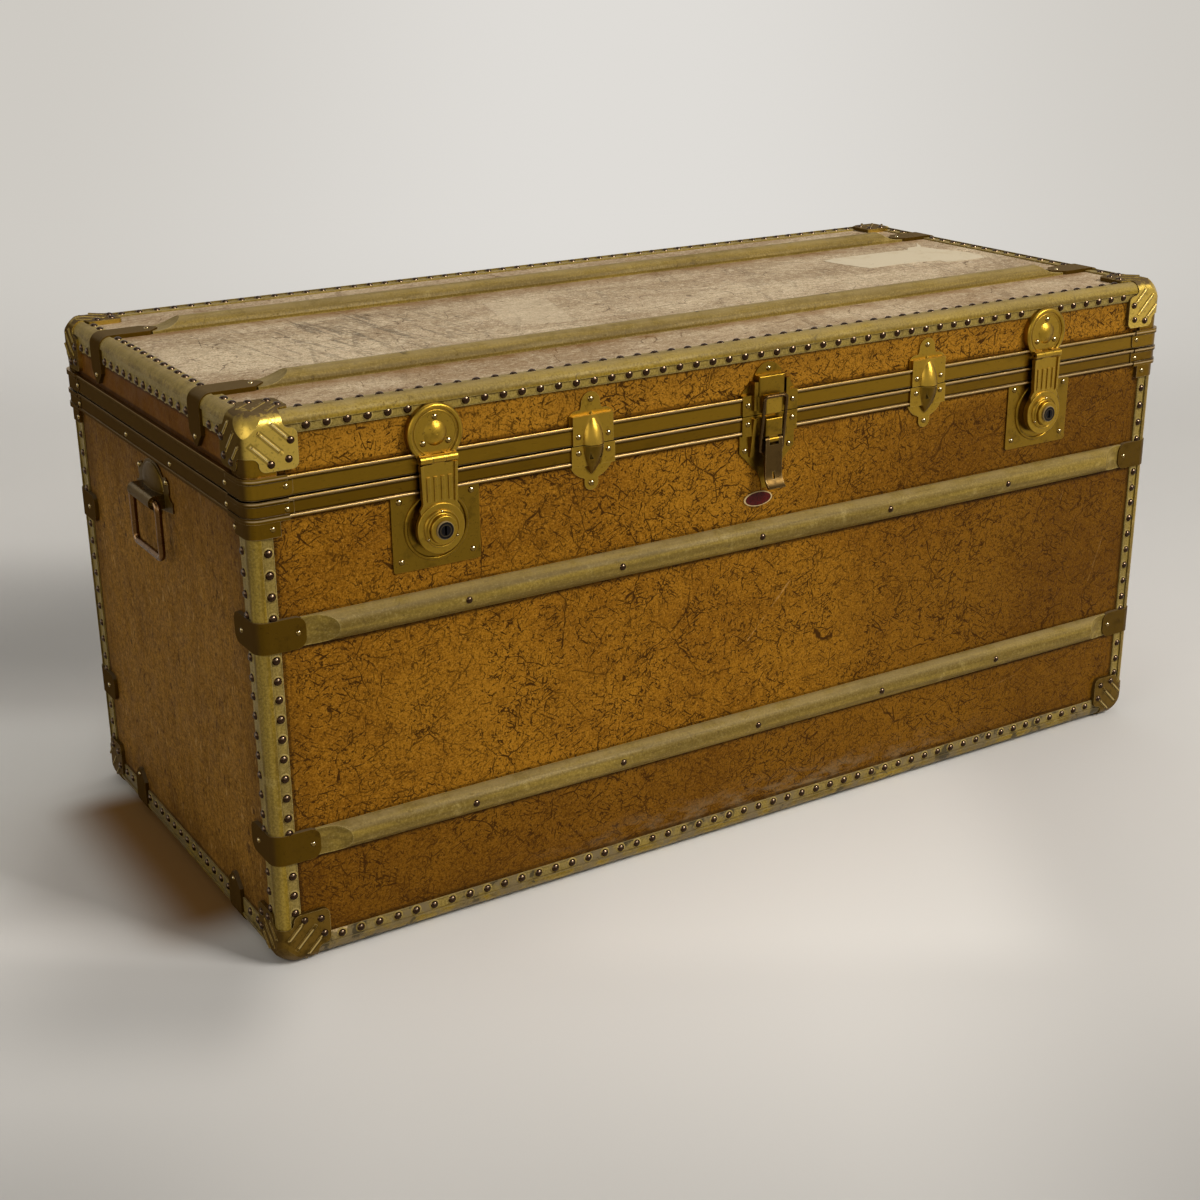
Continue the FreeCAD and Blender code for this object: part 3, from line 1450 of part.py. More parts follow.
latch_catch()
latch_base()
latch_lever()
latch_bail()
lever_pin = centre_rod("lever_pin_rod", size("lever_pin"), LUG_HALF, LEVER_OUT, LEVER_Z)
keep("latch_lever_pin", on_front(group("lever_pin_placed", [lever_pin])))


def badge():
    """A plain oval plate under the latch."""
    oval = doc.addObject("Part::Ellipse", "badge_oval")
    bind(oval, "MajorRadius", size("badge_half_width"))
    bind(oval, "MinorRadius", size("badge_half_height"))
    oval.Placement = Placement(Vector(), PLANES["XZ"])
    plate = doc.addObject("Part::Extrusion", "badge_plate")
    plate.Base = oval
    plate.DirMode = "Custom"
    plate.Dir = Vector(0, -1, 0)
    plate.Solid = True
    bind(plate, "LengthFwd", size("badge_gauge"))
    placed = group("badge_placed", [plate])
    return keep("oval_badge", place(placed, -size("badge_offset"), -FRONT_FACE,
                                    SEAM - size("badge_drop")))


badge()

# End handles, drawn on a front face and then turned to the left end

TO_LEFT_END = Rotation(Vector(0, 0, 1), -90)
HANDLE_Z = -size("handle_drop")
HANDLE_OUT = size("handle_proud")
WIRE = size("handle_wire")


def on_left_end(piece):
    return place(piece, -END_FACE, ZERO, SEAM, turn=TO_LEFT_END)


def handle_plate():
    """Lobed plate with an oval dome and the rolled sleeve that holds the bail."""
    wide = size("handle_plate_half")
    top = size("handle_plate_top")
    foot = size("handle_plate_foot")
    ear = size("handle_ear_half")
    ear_drop = size("handle_ear_drop")
    dome_wide = size("handle_dome_wide")
    outer = WIRE + size("handle_sleeve_wall")
    lobe = ear / 5
    tab = size("handle_sleeve_half") / 2
    corners = both_sides([
        (ZERO, -top), (dome_wide, -ear_drop - GAUGE, dome_wide * 1.15, -1),
        (ear - lobe, -ear_drop), (ear, -ear_drop - lobe, lobe, -1),
        (ear - GAUGE, HANDLE_Z + outer + GAUGE, lobe, -1), (wide, HANDLE_Z + outer / 2, lobe, 1),
        (wide, HANDLE_Z - outer), (tab + lobe, HANDLE_Z - outer - GAUGE * 2),
        (tab, -foot + lobe), (tab - lobe, -foot, lobe, -1), (ZERO, -foot),
    ])
    plate = prism("handle_sheet", corners, "XZ", ZERO, GAUGE)
    dome = doc.addObject("Part::Ellipsoid", "handle_dome_whole")
    bind(dome, "Radius1", size("handle_dome_tall"))
    bind(dome, "Radius2", dome_wide)
    bind(dome, "Radius3", size("handle_dome_rise"))
    place(dome, y=-GAUGE, z=-top - size("handle_dome_tall") - GAUGE)
    half_space = centre_box("handle_front", wide, -foot, ZERO, ZERO, HANDLE_OUT)
    half = size("handle_sleeve_half")
    roll = centre_rod("handle_roll", outer, half, HANDLE_OUT, HANDLE_Z)
    saddle = centre_box("handle_saddle", half, HANDLE_Z - outer, HANDLE_Z + outer, ZERO, HANDLE_OUT)
    solid = fuse("handle_solid", [plate, common("handle_dome", [dome, half_space]), roll, saddle])
    bored = cut("handle_bored", solid, centre_rod("handle_bore", WIRE + FIT, wide, HANDLE_OUT, HANDLE_Z))
    return on_left_end(group("handle_placed", [bored]))


def handle_bail():
    """A closed rectangular wire loop through the sleeve, hanging straight down."""
    body = new_body("handle_loop")
    half = size("handle_half")
    hang = size("handle_hang")
    bend = size("handle_bend")
    middle = hang / 2
    path = body_sketch(body, "path", "XZ")
    outline(path, [
        (half, -middle), (half, -bend), (half - bend, ZERO, bend, 1), (-half + bend, ZERO),
        (-half, -bend, bend, 1), (-half, -hang + bend), (-half + bend, -hang, bend, 1),
        (half - bend, -hang), (half, -hang + bend, bend, 1),
    ])
    section = body_sketch(body, "section", "XY", -middle)
    circle(section, WIRE, half, ZERO)
    pipe = feature(body, "AdditivePipe", "wire", section)
    pipe.Spine = (path, [f"Edge{number}" for number in range(1, 10)])
    at_sleeve = place(group("handle_loop_hung", [body]), y=-HANDLE_OUT, z=HANDLE_Z)
    return on_left_end(group("handle_loop_placed", [at_sleeve]))


twins("handle_plate", handle_plate())
twins("handle_bail", handle_bail())

# Rear hinges, drawn on the front and mirrored to the back

HINGE_OUT = size("hinge_proud")
HINGE_X = HALF_LENGTH - size("hinge_inset")
HINGE_BARREL = size("hinge_knuckle")
PITCH = size("hinge_pitch")


def hinge_leaf(name, sign, knuckles):
    """One leaf; sign 1 stands above the seam and -1 hangs below it."""
    half = PITCH * 2.5
    leaf = size("hinge_leaf")
    near_seam = HINGE_BARREL + CLEAR * 2
    level = BRIDGE + size("hinge_leaf_gauge") - CLEAR
    lobe = size("hinge_leaf") / 6
    shape = [
        (half, near_seam), (half, leaf - lobe), (half - lobe, leaf, lobe, 1),
        (-half + lobe, leaf), (-half, leaf - lobe, lobe, 1), (-half, near_seam),
    ]
    plate = prism(f"{name}_plate", shape, "XZ", ZERO, GAUGE)
    bridge = centre_box(f"{name}_bridge", half, near_seam, BRIDGE_REACH, ZERO, level)
    pieces = [plate, bridge]
    back = size("rib_proud") + CLEAR
    for number in knuckles:
        start = PITCH * (number - 2.5) + CLEAR / 2
        width = PITCH - CLEAR
        pieces.append(rod(f"{name}_knuckle_{number}", HINGE_BARREL, width, (start, -HINGE_OUT, ZERO)))
        pieces.append(out_box(f"{name}_web_{number}", start, start + width, ZERO, near_seam,
                              back, back + size("hinge_web")))
    bore = centre_rod(f"{name}_bore", size("hinge_pin") + FIT, half + OVER, HINGE_OUT, ZERO)
    solid = cut(f"{name}_bored", fuse(f"{name}_solid", pieces), bore)
    if sign < 0:
        solid = mirror(f"{name}_below", solid, "Z")
    band_under = lid_band if sign > 0 else body_band
    leaves = []
    for number in (-1, 0, 1):
        turned = group(f"{name}_placed_{number + 1}", [solid])
        place(turned, HINGE_X * number, FRONT_FACE, SEAM, turn=Rotation(Vector(0, 0, 1), 180))
        leaves.append(turned)
    return cut(f"{name}_seated", group(f"{name}_three", leaves), band_under)


keep("hinge_lid_leaves", hinge_leaf("lid_leaf", 1, (1, 3)))
keep("hinge_body_leaves", hinge_leaf("body_leaf", -1, (0, 2, 4)))


def hinge_pins():
    half = PITCH * 2.5
    pins = []
    for number in (-1, 0, 1):
        middle = HINGE_X * number
        pins.append(rod(f"hinge_pin_{number + 1}", size("hinge_pin"), half * 2,
                        (middle - half, FRONT_FACE + HINGE_OUT, SEAM)))
    return keep("hinge_pins", group("hinge_pin_row", pins))


hinge_pins()

doc.recompute()
broken = [item.Name for item in doc.Objects if {"Invalid", "Error"} & set(item.State)]
if broken:
    raise ValueError(f"features that failed: {broken}")
os.makedirs("parts", exist_ok=True)
for part_name, part_object in parts.items():
    if part_object.Shape.isNull() or not part_object.Shape.isValid():
        raise ValueError(f"{part_name} has no valid shape")
    part_object.Shape.exportStep(os.path.join("parts", f"{part_name}.step"))
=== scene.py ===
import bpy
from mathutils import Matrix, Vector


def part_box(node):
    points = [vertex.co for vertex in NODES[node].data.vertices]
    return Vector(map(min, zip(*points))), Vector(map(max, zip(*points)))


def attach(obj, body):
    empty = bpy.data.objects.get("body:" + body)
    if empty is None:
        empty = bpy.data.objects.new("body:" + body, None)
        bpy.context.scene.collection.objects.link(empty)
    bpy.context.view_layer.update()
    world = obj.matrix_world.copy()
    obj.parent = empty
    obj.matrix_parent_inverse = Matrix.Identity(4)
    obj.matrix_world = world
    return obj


bl_info = {
    "name": "Travel Trunk",
    "version": (1, 1, 0),
    "blender": (4, 5, 0),
    "location": "3D View > Sidebar > Trunk",
    "description": "Dresses the travel trunk frame with its finishes, nails, rivets and stamped brass",
    "category": "Add Mesh",
}

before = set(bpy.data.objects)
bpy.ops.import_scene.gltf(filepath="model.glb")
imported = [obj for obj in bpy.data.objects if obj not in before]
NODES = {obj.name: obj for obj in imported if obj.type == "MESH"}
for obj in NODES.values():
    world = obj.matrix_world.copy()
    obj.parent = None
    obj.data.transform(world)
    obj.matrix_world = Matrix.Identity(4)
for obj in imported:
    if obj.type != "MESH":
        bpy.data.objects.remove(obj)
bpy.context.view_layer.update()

import math
import random

import bpy
from mathutils import Matrix, Vector

MM = 0.001
ORIGIN = (0.0, 0.0, 0.0)
FRONT, BACK, LEFT, RIGHT, UP, DOWN = (0, -1, 0), (0, 1, 0), (-1, 0, 0), (1, 0, 0), (0, 0, 1), (0, 0, -1)
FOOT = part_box("body_bottom_bindings")[0].z
EDGE_X, EDGE_Y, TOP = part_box("lid_top_bindings")[1]
STRAP_Y, STRAP_HALF = 0.130, 0.0165
LOCK_X, LOCK_HALF = 0.342, 0.019
HINGES_X = (-0.330, 0.0, 0.330)
SLAT_LEVELS = (0.305, 0.113)
SLAT_NAILS = (-0.319, -0.1645, -0.010, 0.1445, 0.299)
VIEW_TURN, VIEW_TILT, VIEW_ROLL = (math.radians(angle) for angle in (31.654, -20.378, -0.545))
AHEAD = Vector((math.sin(VIEW_TURN), math.cos(VIEW_TURN), 0))
ASIDE = Vector((math.cos(VIEW_TURN), -math.sin(VIEW_TURN), 0))


def shade(red, green, blue):
    """A colour written as the eye sees it, 0 to 255, in the linear values that shaders take."""
    parts = []
    for value in (red, green, blue):
        value /= 255
        parts.append(value / 12.92 if value <= 0.04045 else ((value + 0.055) / 1.055) ** 2.4)
    return (*parts, 1.0)


def colour_choice(name, description, red, green, blue):
    return bpy.props.FloatVectorProperty(
        name=name, description=description, subtype="COLOR", size=4, min=0, max=1,
        default=shade(red, green, blue))


def length_choice(name, description, millimetres):
    return bpy.props.FloatProperty(
        name=name, description=description, subtype="DISTANCE", unit="LENGTH",
        default=millimetres * MM, min=0, precision=4)


class TrunkColours(bpy.types.PropertyGroup):
    """The colours of the trunk's finishes."""
    amber: colour_choice("Amber", "Lacquered fibreboard where it is brightest", 159, 109, 25)
    ochre: colour_choice("Ochre", "Lacquered fibreboard where it is duller", 134, 88, 18)
    vein: colour_choice("Vein", "Crackle veins in the lacquer", 66, 40, 7)
    end_brown: colour_choice("End brown", "Streaked brown of the two ends", 156, 112, 42)
    roof: colour_choice("Worn top", "Worn beige of the lid's top", 218, 197, 163)
    fibre: colour_choice("Binding paint", "Painted fibre bindings", 148, 121, 32)
    slat: colour_choice("Slat paint", "Khaki paint on the slats", 143, 119, 49)
    bare: colour_choice("Bare wear", "Paint worn thin on edges", 198, 176, 108)
    brass: colour_choice("Brass", "Antique brass of the stamped plates", 136, 106, 31)
    gilt: colour_choice("Gilt", "Brighter brass of the lid's corner caps", 214, 182, 84)
    tarnish: colour_choice("Tarnish", "Dark tarnish in the brass", 54, 38, 12)
    strap: colour_choice("Strap", "Dark oxidised straps over the slat ends", 92, 68, 16)
    # This colour is painted shade: it darkens and dulls the metal on the faces of the two ends.
    soot: colour_choice("Soot", "Brown oxide that dulls the metal at the two ends", 76, 55, 24)
    dust: colour_choice("Dust", "Grey brown dust that settles on top", 102, 84, 56)
    nail: colour_choice("Nail", "Japanned nail heads", 60, 43, 29)
    steel: colour_choice("Steel", "Dark steel of the lock plugs", 17, 14, 14)
    wire: colour_choice("Wire", "Bronzed wire of the end handles", 112, 80, 44)
    timber: colour_choice("Timber", "Bare boards", 170, 134, 92)
    paper: colour_choice("Lining", "Plain paper lining", 196, 180, 148)
    remnant: colour_choice("Remnant", "Torn blank paper left on the lid", 214, 199, 169)
    badge: colour_choice("Badge", "Plain enamel of the oval badge", 88, 18, 12)
    badge_rim: colour_choice("Badge rim", "Cream rim of the oval badge", 208, 182, 128)
    floor: colour_choice("Floor", "Studio floor and backdrop", 238, 236, 232)


class TrunkSizes(bpy.types.PropertyGroup):
    """The sizes of what the frame doesn't carry."""
    nail_pitch: length_choice("Nail pitch", "Spacing of the binding nails", 17.85)
    nail_radius: length_choice("Nail radius", "Radius of a binding nail's head", 3.8)
    nail_rise: length_choice("Nail rise", "Height of a binding nail's head", 2.6)
    rivet_radius: length_choice("Rivet radius", "Radius of a rivet's head", 2.8)
    rivet_rise: length_choice("Rivet rise", "Height of a rivet's head", 1.9)
    disc_ring: length_choice("Disc ring", "Radius of the thin ring on a strike disc", 19.2)
    head_ring: length_choice("Head ring", "Radius of the thin ring on a hasp's head", 15.3)
    ring_wire: length_choice("Ring wire", "Half the width of those rings", 0.75)


# Node trees


def colour(value):
    """Linear values of a colour: a choice's name, three numbers from 0 to 255, or linear already."""
    if isinstance(value, str):
        return tuple(getattr(bpy.context.scene.trunk_colours, value))
    return shade(*value) if len(value) == 3 else value


def feed(socket, value):
    """Links a wire to a socket, or writes a number, vector or colour there."""
    if isinstance(value, Wire):
        socket.id_data.links.new(value.socket, socket)
    elif socket.type == "RGBA":
        socket.default_value = colour(value)
    else:
        socket.default_value = value if isinstance(value, (int, float)) else tuple(value)


def add_node(tree, kind, feeds=(), **settings):
    made = tree.nodes.new("ShaderNode" + kind)
    for name, value in settings.items():
        setattr(made, name, value)
    for key, value in dict(feeds).items():
        feed(made.inputs[key], value)
    return made


class Wire:
    """What a node puts out: + - * / and abs work on it, | takes the larger and & the smaller of two."""

    def __init__(self, socket):
        self.socket = socket

    def node(self, kind, feeds=(), out=0, **settings):
        return Wire(add_node(self.socket.id_data, kind, feeds, **settings).outputs[out])

    def maths(self, operation, first, *second, **settings):
        kind = "Math" if self.socket.type == "VALUE" else "VectorMath"
        out = 1 if operation in ("LENGTH", "DOT_PRODUCT", "DISTANCE") else 0
        return self.node(kind, enumerate((first, *second)), out, operation=operation, **settings)

    def __rsub__(self, other):
        return self.maths("SUBTRACT", other, self)

    def __abs__(self):
        return self.maths("ABSOLUTE", self)

    def capped(self, operation, other):
        """A product or quotient kept from 0 to 1."""
        return self.maths(operation, self, other, use_clamp=True)

    def length(self):
        return self.maths("LENGTH", self)

    def scaled(self, amount):
        return self.node("VectorMath", {0: self, "Scale": amount}, operation="SCALE")

    def split(self):
        return [Wire(part) for part in add_node(self.socket.id_data, "SeparateXYZ", {0: self}).outputs]

    def stretch(self, scale, turn=ORIGIN):
        return self.node("Mapping", {"Vector": self, "Scale": scale, "Rotation": turn})

    def turned(self, x, y, z):
        return self.stretch((1, 1, 1), (x, y, z))

    def noise(self, scale, detail=3.0, rough=0.55, warp=0.0, out="Fac"):
        return self.node("TexNoise", {"Vector": self, "Scale": scale, "Detail": detail, "Roughness": rough,
                                      "Distortion": warp}, out)

    def step(self, low, high, to_high=1.0, to_low=0.0):
        """A smooth step between two values, to 0 and 1 or others; it falls if the first two are swapped."""
        return self.node("MapRange", {"Value": self, "From Min": low, "From Max": high, "To Min": to_low,
                                      "To Max": to_high}, interpolation_type="SMOOTHSTEP")

    def over(self, cover, soft):
        """The part of a noise that a cover from 0 to 1 keeps."""
        low = 1.0 - cover
        return self.step(low, low + soft)

    def mix(self, first, second):
        return self.node("Mix", {0: self, 6: first, 7: second}, 2, data_type="RGBA")

    def use(self, effect, **feeds):
        """A shared effect, with this wire in its first input and values in the others."""
        made = add_node(self.socket.id_data, "Group", node_tree=effect())
        feed(made.inputs[0], self)
        for name, value in feeds.items():
            feed(made.inputs[spaced(name)], value)
        return Wire(made.outputs[0])


for call, operation in (("__add__", "ADD"), ("__sub__", "SUBTRACT"), ("__mul__", "MULTIPLY"),
                        ("__truediv__", "DIVIDE"), ("__or__", "MAXIMUM"), ("__and__", "MINIMUM"),
                        ("dot", "DOT_PRODUCT"), ("apart", "DISTANCE")):
    setattr(Wire, call, lambda self, other, operation=operation: self.maths(operation, self, other))


def spaced(name):
    return name.replace("_", " ").title()


def most(first, *others):
    """The largest of several masks."""
    for other in others:
        first = first | other
    return first


def coats(ground, *layers):
    """A colour under layers, each given by its mask and its colour."""
    for mask, layer in layers:
        ground = mask.mix(ground, layer)
    return ground


def shared(result, **inputs):
    """Makes a function that wires up an effect into one that gives its node group, built at its first use."""
    def wrap(wire_up):
        title = spaced(wire_up.__name__)

        def fetch():
            if title in bpy.data.node_groups:
                return bpy.data.node_groups[title]
            tree = bpy.data.node_groups.new(title, "ShaderNodeTree")
            for name, value in inputs.items():
                kind = "NodeSocketVector" if isinstance(value, tuple) else "NodeSocketFloat"
                socket = tree.interface.new_socket(spaced(name), in_out="INPUT", socket_type=kind)
                socket.default_value = value
            tree.interface.new_socket(result, in_out="OUTPUT", socket_type="NodeSocketFloat")
            given = tree.nodes.new("NodeGroupInput").outputs
            made = wire_up(*(Wire(given[spaced(name)]) for name in inputs))
            feed(tree.nodes.new("NodeGroupOutput").inputs[0], made)
            return tree
        return fetch
    return wrap


@shared("Veins", place=ORIGIN, cells=22.0, wander=0.35, width=0.03, cover=0.5)
def crackle_veins(place, cells, wander, width, cover):
    """Broken vein lines: the walls of wandering cells, kept only in patches."""
    drift = place.noise(cells * 2.2, 3.0, 0.5, out="Color") - (0.5, 0.5, 0.5)
    moved = place + drift.scaled(wander / cells)
    wall = place.node("TexVoronoi", {"Vector": moved, "Scale": cells}, "Distance", feature="DISTANCE_TO_EDGE")
    width = width * place.noise(cells * 6.0, 2.0, 0.6).step(0.3, 0.7, 1.5, 0.45)
    return wall.step(width, width * 0.3) * place.noise(cells * 2.1, 3.0, 0.62).over(cover, 0.06)


@shared("Dashes", place=ORIGIN, spread=(45.0, 45.0, 420.0), cover=0.34, patch=26.0)
def short_dashes(place, spread, cover, patch):
    """Thin straight dashes that lie along one way and gather in patches."""
    line = (place * spread).noise(1.0, 2.0, 0.5).over(cover, 0.045)
    return line * place.noise(patch, 3.0, 0.6).step(0.46, 0.58)


@shared("Lines", place=ORIGIN, broad=6.0, width=0.004, cover=0.5)
def hair_lines(place, broad, width, cover):
    """Long thin scratches that follow the height lines of a broad noise."""
    away = abs(place.noise(broad, 1.0, 0.4) - 0.5)
    return away.step(width, 0.0) * place.noise(broad * 3.3, 2.0, 0.5).over(cover, 0.1)


@shared("Patches", place=ORIGIN, scale=30.0, cover=0.5, softness=0.2)
def blotches(place, scale, cover, softness):
    """Soft-edged patches, such as tarnish or dirt."""
    return place.noise(scale, 6.0, 0.62, 0.3).over(cover, softness)


@shared("Wear", place=ORIGIN, reach=0.001, break_up=120.0, amount=0.7)
def worn_edges(place, reach, break_up, amount):
    """Where an edge turns sharply, broken up so that the wear comes and goes."""
    soft, hard = place.node("Bevel", {"Radius": reach}, samples=4), place.node("NewGeometry", out="Normal")
    edge = (1.0 - soft.dot(hard)).step(0.01, 0.14)
    kept = place.noise(break_up, 4.0, 0.65).step(0.38, 0.62)
    return (edge * (kept * 0.65 + 0.35)).capped("MULTIPLY", amount)


@shared("Line", place=ORIGIN, start=ORIGIN, end=(0.0, 0.0, 0.1), width=0.001)
def scored_line(place, start, end, width):
    """One straight score between two points, a little ragged."""
    run, here = end - start, place - start
    gap = here.apart(run.scaled(here.dot(run).capped("DIVIDE", run.dot(run))))
    waver = (place.noise(90.0) - 0.5) * (width * 4.0)
    return place.noise(300.0).step(0.35, 0.6, 1.0, 0.25) * abs(gap + waver).step(width, 0.0)


@shared("Line", value=0.0, level=0.0, half=0.001)
def level_line(value, level, half):
    """A soft line where a value is near a level."""
    return abs(value - level).step(half, half * 0.25)


@shared("Distance", place=ORIGIN, middle=(0.0, 0.0, (FOOT + TOP) / 2), half=(EDGE_X, EDGE_Y, (TOP - FOOT) / 2))
def rim_distance(place, middle, half):
    """How far a spot on the trunk's skin is from the nearest edge of its box."""
    across, deep, high = (half - abs(place - middle)).split()
    return (across & deep) | ((across | deep) & high)


@shared("Dust", place=ORIGIN, up=0.0, scale=60.0, amount=0.7)
def settled_dust(place, up, scale, amount):
    """Dust on whatever faces up, thicker in patches."""
    patch = place.noise(scale, 5.0, 0.65).step(0.3, 0.62, 1.0, 0.3)
    return (up.step(0.45, 0.92) * patch).capped("MULTIPLY", amount)


@shared("Distance", place=ORIGIN, corner=(EDGE_X, EDGE_Y, TOP))
def cap_beads(place, corner):
    """How far a spot on a corner cap is from the middle line of its nearest rolled bead."""
    a, b, c = abs(corner - abs(place)).split()
    both = a + (b + c) - (a & (b & c))
    apart = (a | b | c) * 2.0 - both
    return (apart & abs(apart - 0.017)) | ((0.031 - both) | (both - 0.058))


@shared("Spot", facing=ORIGIN, tight=0.95)
def glint_spot(facing, tight):
    """A painted highlight: the small patch of a domed head that faces one of three given ways, where lamps'
    highlights fall.
    """
    ways = ((-0.10, -0.86, 0.50), (-0.84, -0.30, 0.45), (0.30, 0.80, 0.50))
    return most(*(facing.dot(Vector(way).normalized()) for way in ways)).step(tight, tight * 0.4 + 0.6)


def scored(ground, place, scores, line_colour, strength):
    """A colour with scores over it, each given by its start, end and half width in millimetres."""
    return coats(ground, *((place.use(scored_line, start=Vector(start) * MM, end=Vector(stop) * MM,
                                      width=width * MM) * strength, line_colour)
                           for start, stop, width in scores))


def levels(value, *rows):
    """The strongest of several level lines: level and half width in millimetres, and strength."""
    return most(*(value.use(level_line, level=level * MM, half=half * MM) * strength
                  for level, half, strength in rows))


# Scores on the skin, in millimetres

FRONT_SKIN, ROOF_SKIN = -229.5, 486


def on_front(*rows):
    """Scores on the front, each given by x and z of its two ends and its half width."""
    return [((a, FRONT_SKIN, b), (c, FRONT_SKIN, d), half) for a, b, c, d, half in rows]


def on_roof(*rows):
    """Scores on the lid's top, each given by x and y of its two ends and its half width."""
    return [((a, b, ROOF_SKIN), (c, d, ROOF_SKIN), half) for a, b, c, d, half in rows]


DARK_FRONT_SCORES = on_front(
    (-238, 197, -70, 151, 0.75), (-70, 151, -30, 124, 0.7), (-216, 184, -177, 134, 0.6),
    (-265, 158, -243, 141, 0.7), (-424, 233, -384, 205, 0.6), (-352, 272, -284, 268, 0.6),
    (120, 232, 205, 216, 0.6), (300, 204, 338, 168, 0.6))
PALE_FRONT_SCORES = on_front(
    (-16, 199, 33, 250, 0.9), (439, 170, 456, 218, 0.8), (387, 270, 404, 316, 0.7), (300, 75, 345, 82, 0.5))
TOP_SCORES = on_roof(
    (-431, 113, -428, 77, 0.9), (-428, 77, -408, 56, 1.0), (-408, 56, -394, -60, 0.9),
    (-425, 85, -438, 35, 0.7), (-300, 60, -262, -40, 0.8), (-262, 40, -240, 8, 0.8),
    (-150, 64, -120, -20, 0.7), (40, 50, 112, -22, 0.7), (160, 66, 246, 10, 0.7), (-350, -30, -322, -62, 0.8))
FOOT_CHIPS = (((-458, -232, 25), (-447, -232, 22), 3.6), ((-452, -232, 27), (-449, -232, 22), 3.0))
LID_SLAT_DOTS = tuple(((x / MM, y, 497.6), (x / MM + 0.5, y, 497.6), 4.2) for x in SLAT_NAILS
                      for y in (-STRAP_Y / MM, STRAP_Y / MM))
PATCH_MIDDLE, PATCH_TURN, PATCH_HALF, PATCH_EDGE = (-0.113, 0.010, 0), math.radians(16), (0.034, 0.057), 0.002

# Veins of the lacquer: cells, wander, width, cover, strength and turn
VEIN_LAYERS = ((34.0, 0.35, 0.023, 0.50, 0.85, 0.0), (78.0, 0.45, 0.048, 0.48, 0.9, 0.7),
               (120.0, 0.5, 0.075, 0.47, 0.9, 2.1), (15.0, 0.25, 0.011, 0.54, 0.75, 1.3))
DASH_LAYERS = ((0.45, 0.40), (-0.6, 0.39), (1.4, 0.38), (0.05, 0.37))
FLECK_LAYERS = ((150.0, 0.36, 0.75), (260.0, 0.38, 0.85))

# Where parts of the skin begin, in metres: by height for the first four, by distance from the rim for the rest
# LOW_SKIN is where the painted shade at the bottom of the front begins.
LID_SKIN, BODY_SKIN, LOW_SKIN, ASHY_SKIN = (0.43, 0.445), (0.405, 0.39), (0.128, 0.085), (0.058, 0.022)
FRONT_BORDER, END_BORDER = (0.050, 0.020), (0.075, 0.026)
# Painted shade along the bindings' edges: level and half width, by distance from the rim.
FRONT_BINDING_SHADE, END_BINDING_SHADE = {"level": 0.0222, "half": 0.0028}, {"level": 0.0268, "half": 0.003}

# Levels on the skin, in millimetres: level, half width and strength
# Painted contact shade: dark lines above and below the slats and along the edges of the bands and of the lid's
# binding.
FRONT_CONTACT_SHADES = ((290.6, 3.2, 0.8), (318.8, 1.8, 0.5), (98.6, 3.2, 0.8), (126.8, 1.8, 0.5),
                  (402.0, 2.6, 0.8), (439.6, 1.8, 0.6), (470.0, 2.0, 0.6))
END_CONTACT_SHADES = ((401.6, 4.0, 0.8), (440.4, 3.0, 0.7))
# Bands: painted highlights along the rib crests, and dark lines under the ribs, partly painted shade and
# partly tarnish.
BAND_HIGHLIGHTS = ((437.3, 0.9, 0.85), (419.1, 0.9, 0.85), (405.2, 0.9, 0.8))
BAND_SHADE_AND_TARNISH = ((434.9, 1.4, 0.85), (422.0, 1.0, 0.8), (416.8, 1.4, 0.8), (407.2, 1.2, 0.8))


class Finish:
    """One material: its shader, its spot on the trunk and the way that its surface faces."""

    def __init__(self, name, roughness, specular, metallic=0.0):
        if name in bpy.data.materials:
            raise RuntimeError(f"a finish named {name} is there already")
        material = bpy.data.materials.new(name)
        material.use_nodes = True
        self.tree = material.node_tree
        self.sockets = self.tree.nodes["Principled BSDF"].inputs
        for key, value in (("Roughness", roughness), ("Specular IOR Level", specular), ("Metallic", metallic)):
            feed(self.sockets[key], value)
        spot = add_node(self.tree, "TexCoord").outputs
        self.place, self.normal = Wire(spot["Object"]), Wire(spot["Normal"])

    def close(self, body, rough, height=None, depth=0.0, strength=1.0):
        """Feeds the shader with its colour, its roughness and the bumps of its surface."""
        feed(self.sockets["Base Color"], body)
        feed(self.sockets["Roughness"], rough)
        if height is not None:
            feed(self.sockets["Normal"],
                 self.place.node("Bump", {"Height": height, "Distance": depth, "Strength": strength}))


def amber_board():
    """Lacquered fibreboard: amber and crackled in front, streaked on the ends, worn on top."""
    finish = Finish("amber_board", 0.5, 0.04)
    place, (across, _, up) = finish.place, finish.normal.split()
    roof, end = up.step(0.5, 0.9), abs(across).step(0.5, 0.9)
    rim, grain = place.use(rim_distance), place.noise(620.0, 3.0, 0.72)
    front, veins = crackled(place, grain, rim)
    top, marks = scuffed_top(place, grain)
    body = roof.mix(end.mix(front, streaked(place, grain, rim, veins)), top)
    dull = place.noise(60.0, 4.0).step(0.3, 0.7, 0.5, 0.34)
    height = grain * 0.4 - (veins * (1.0 - roof) | marks * roof) * 0.5
    finish.close(body, dull + (roof | end) * 0.22, height, 0.0004, 0.55)


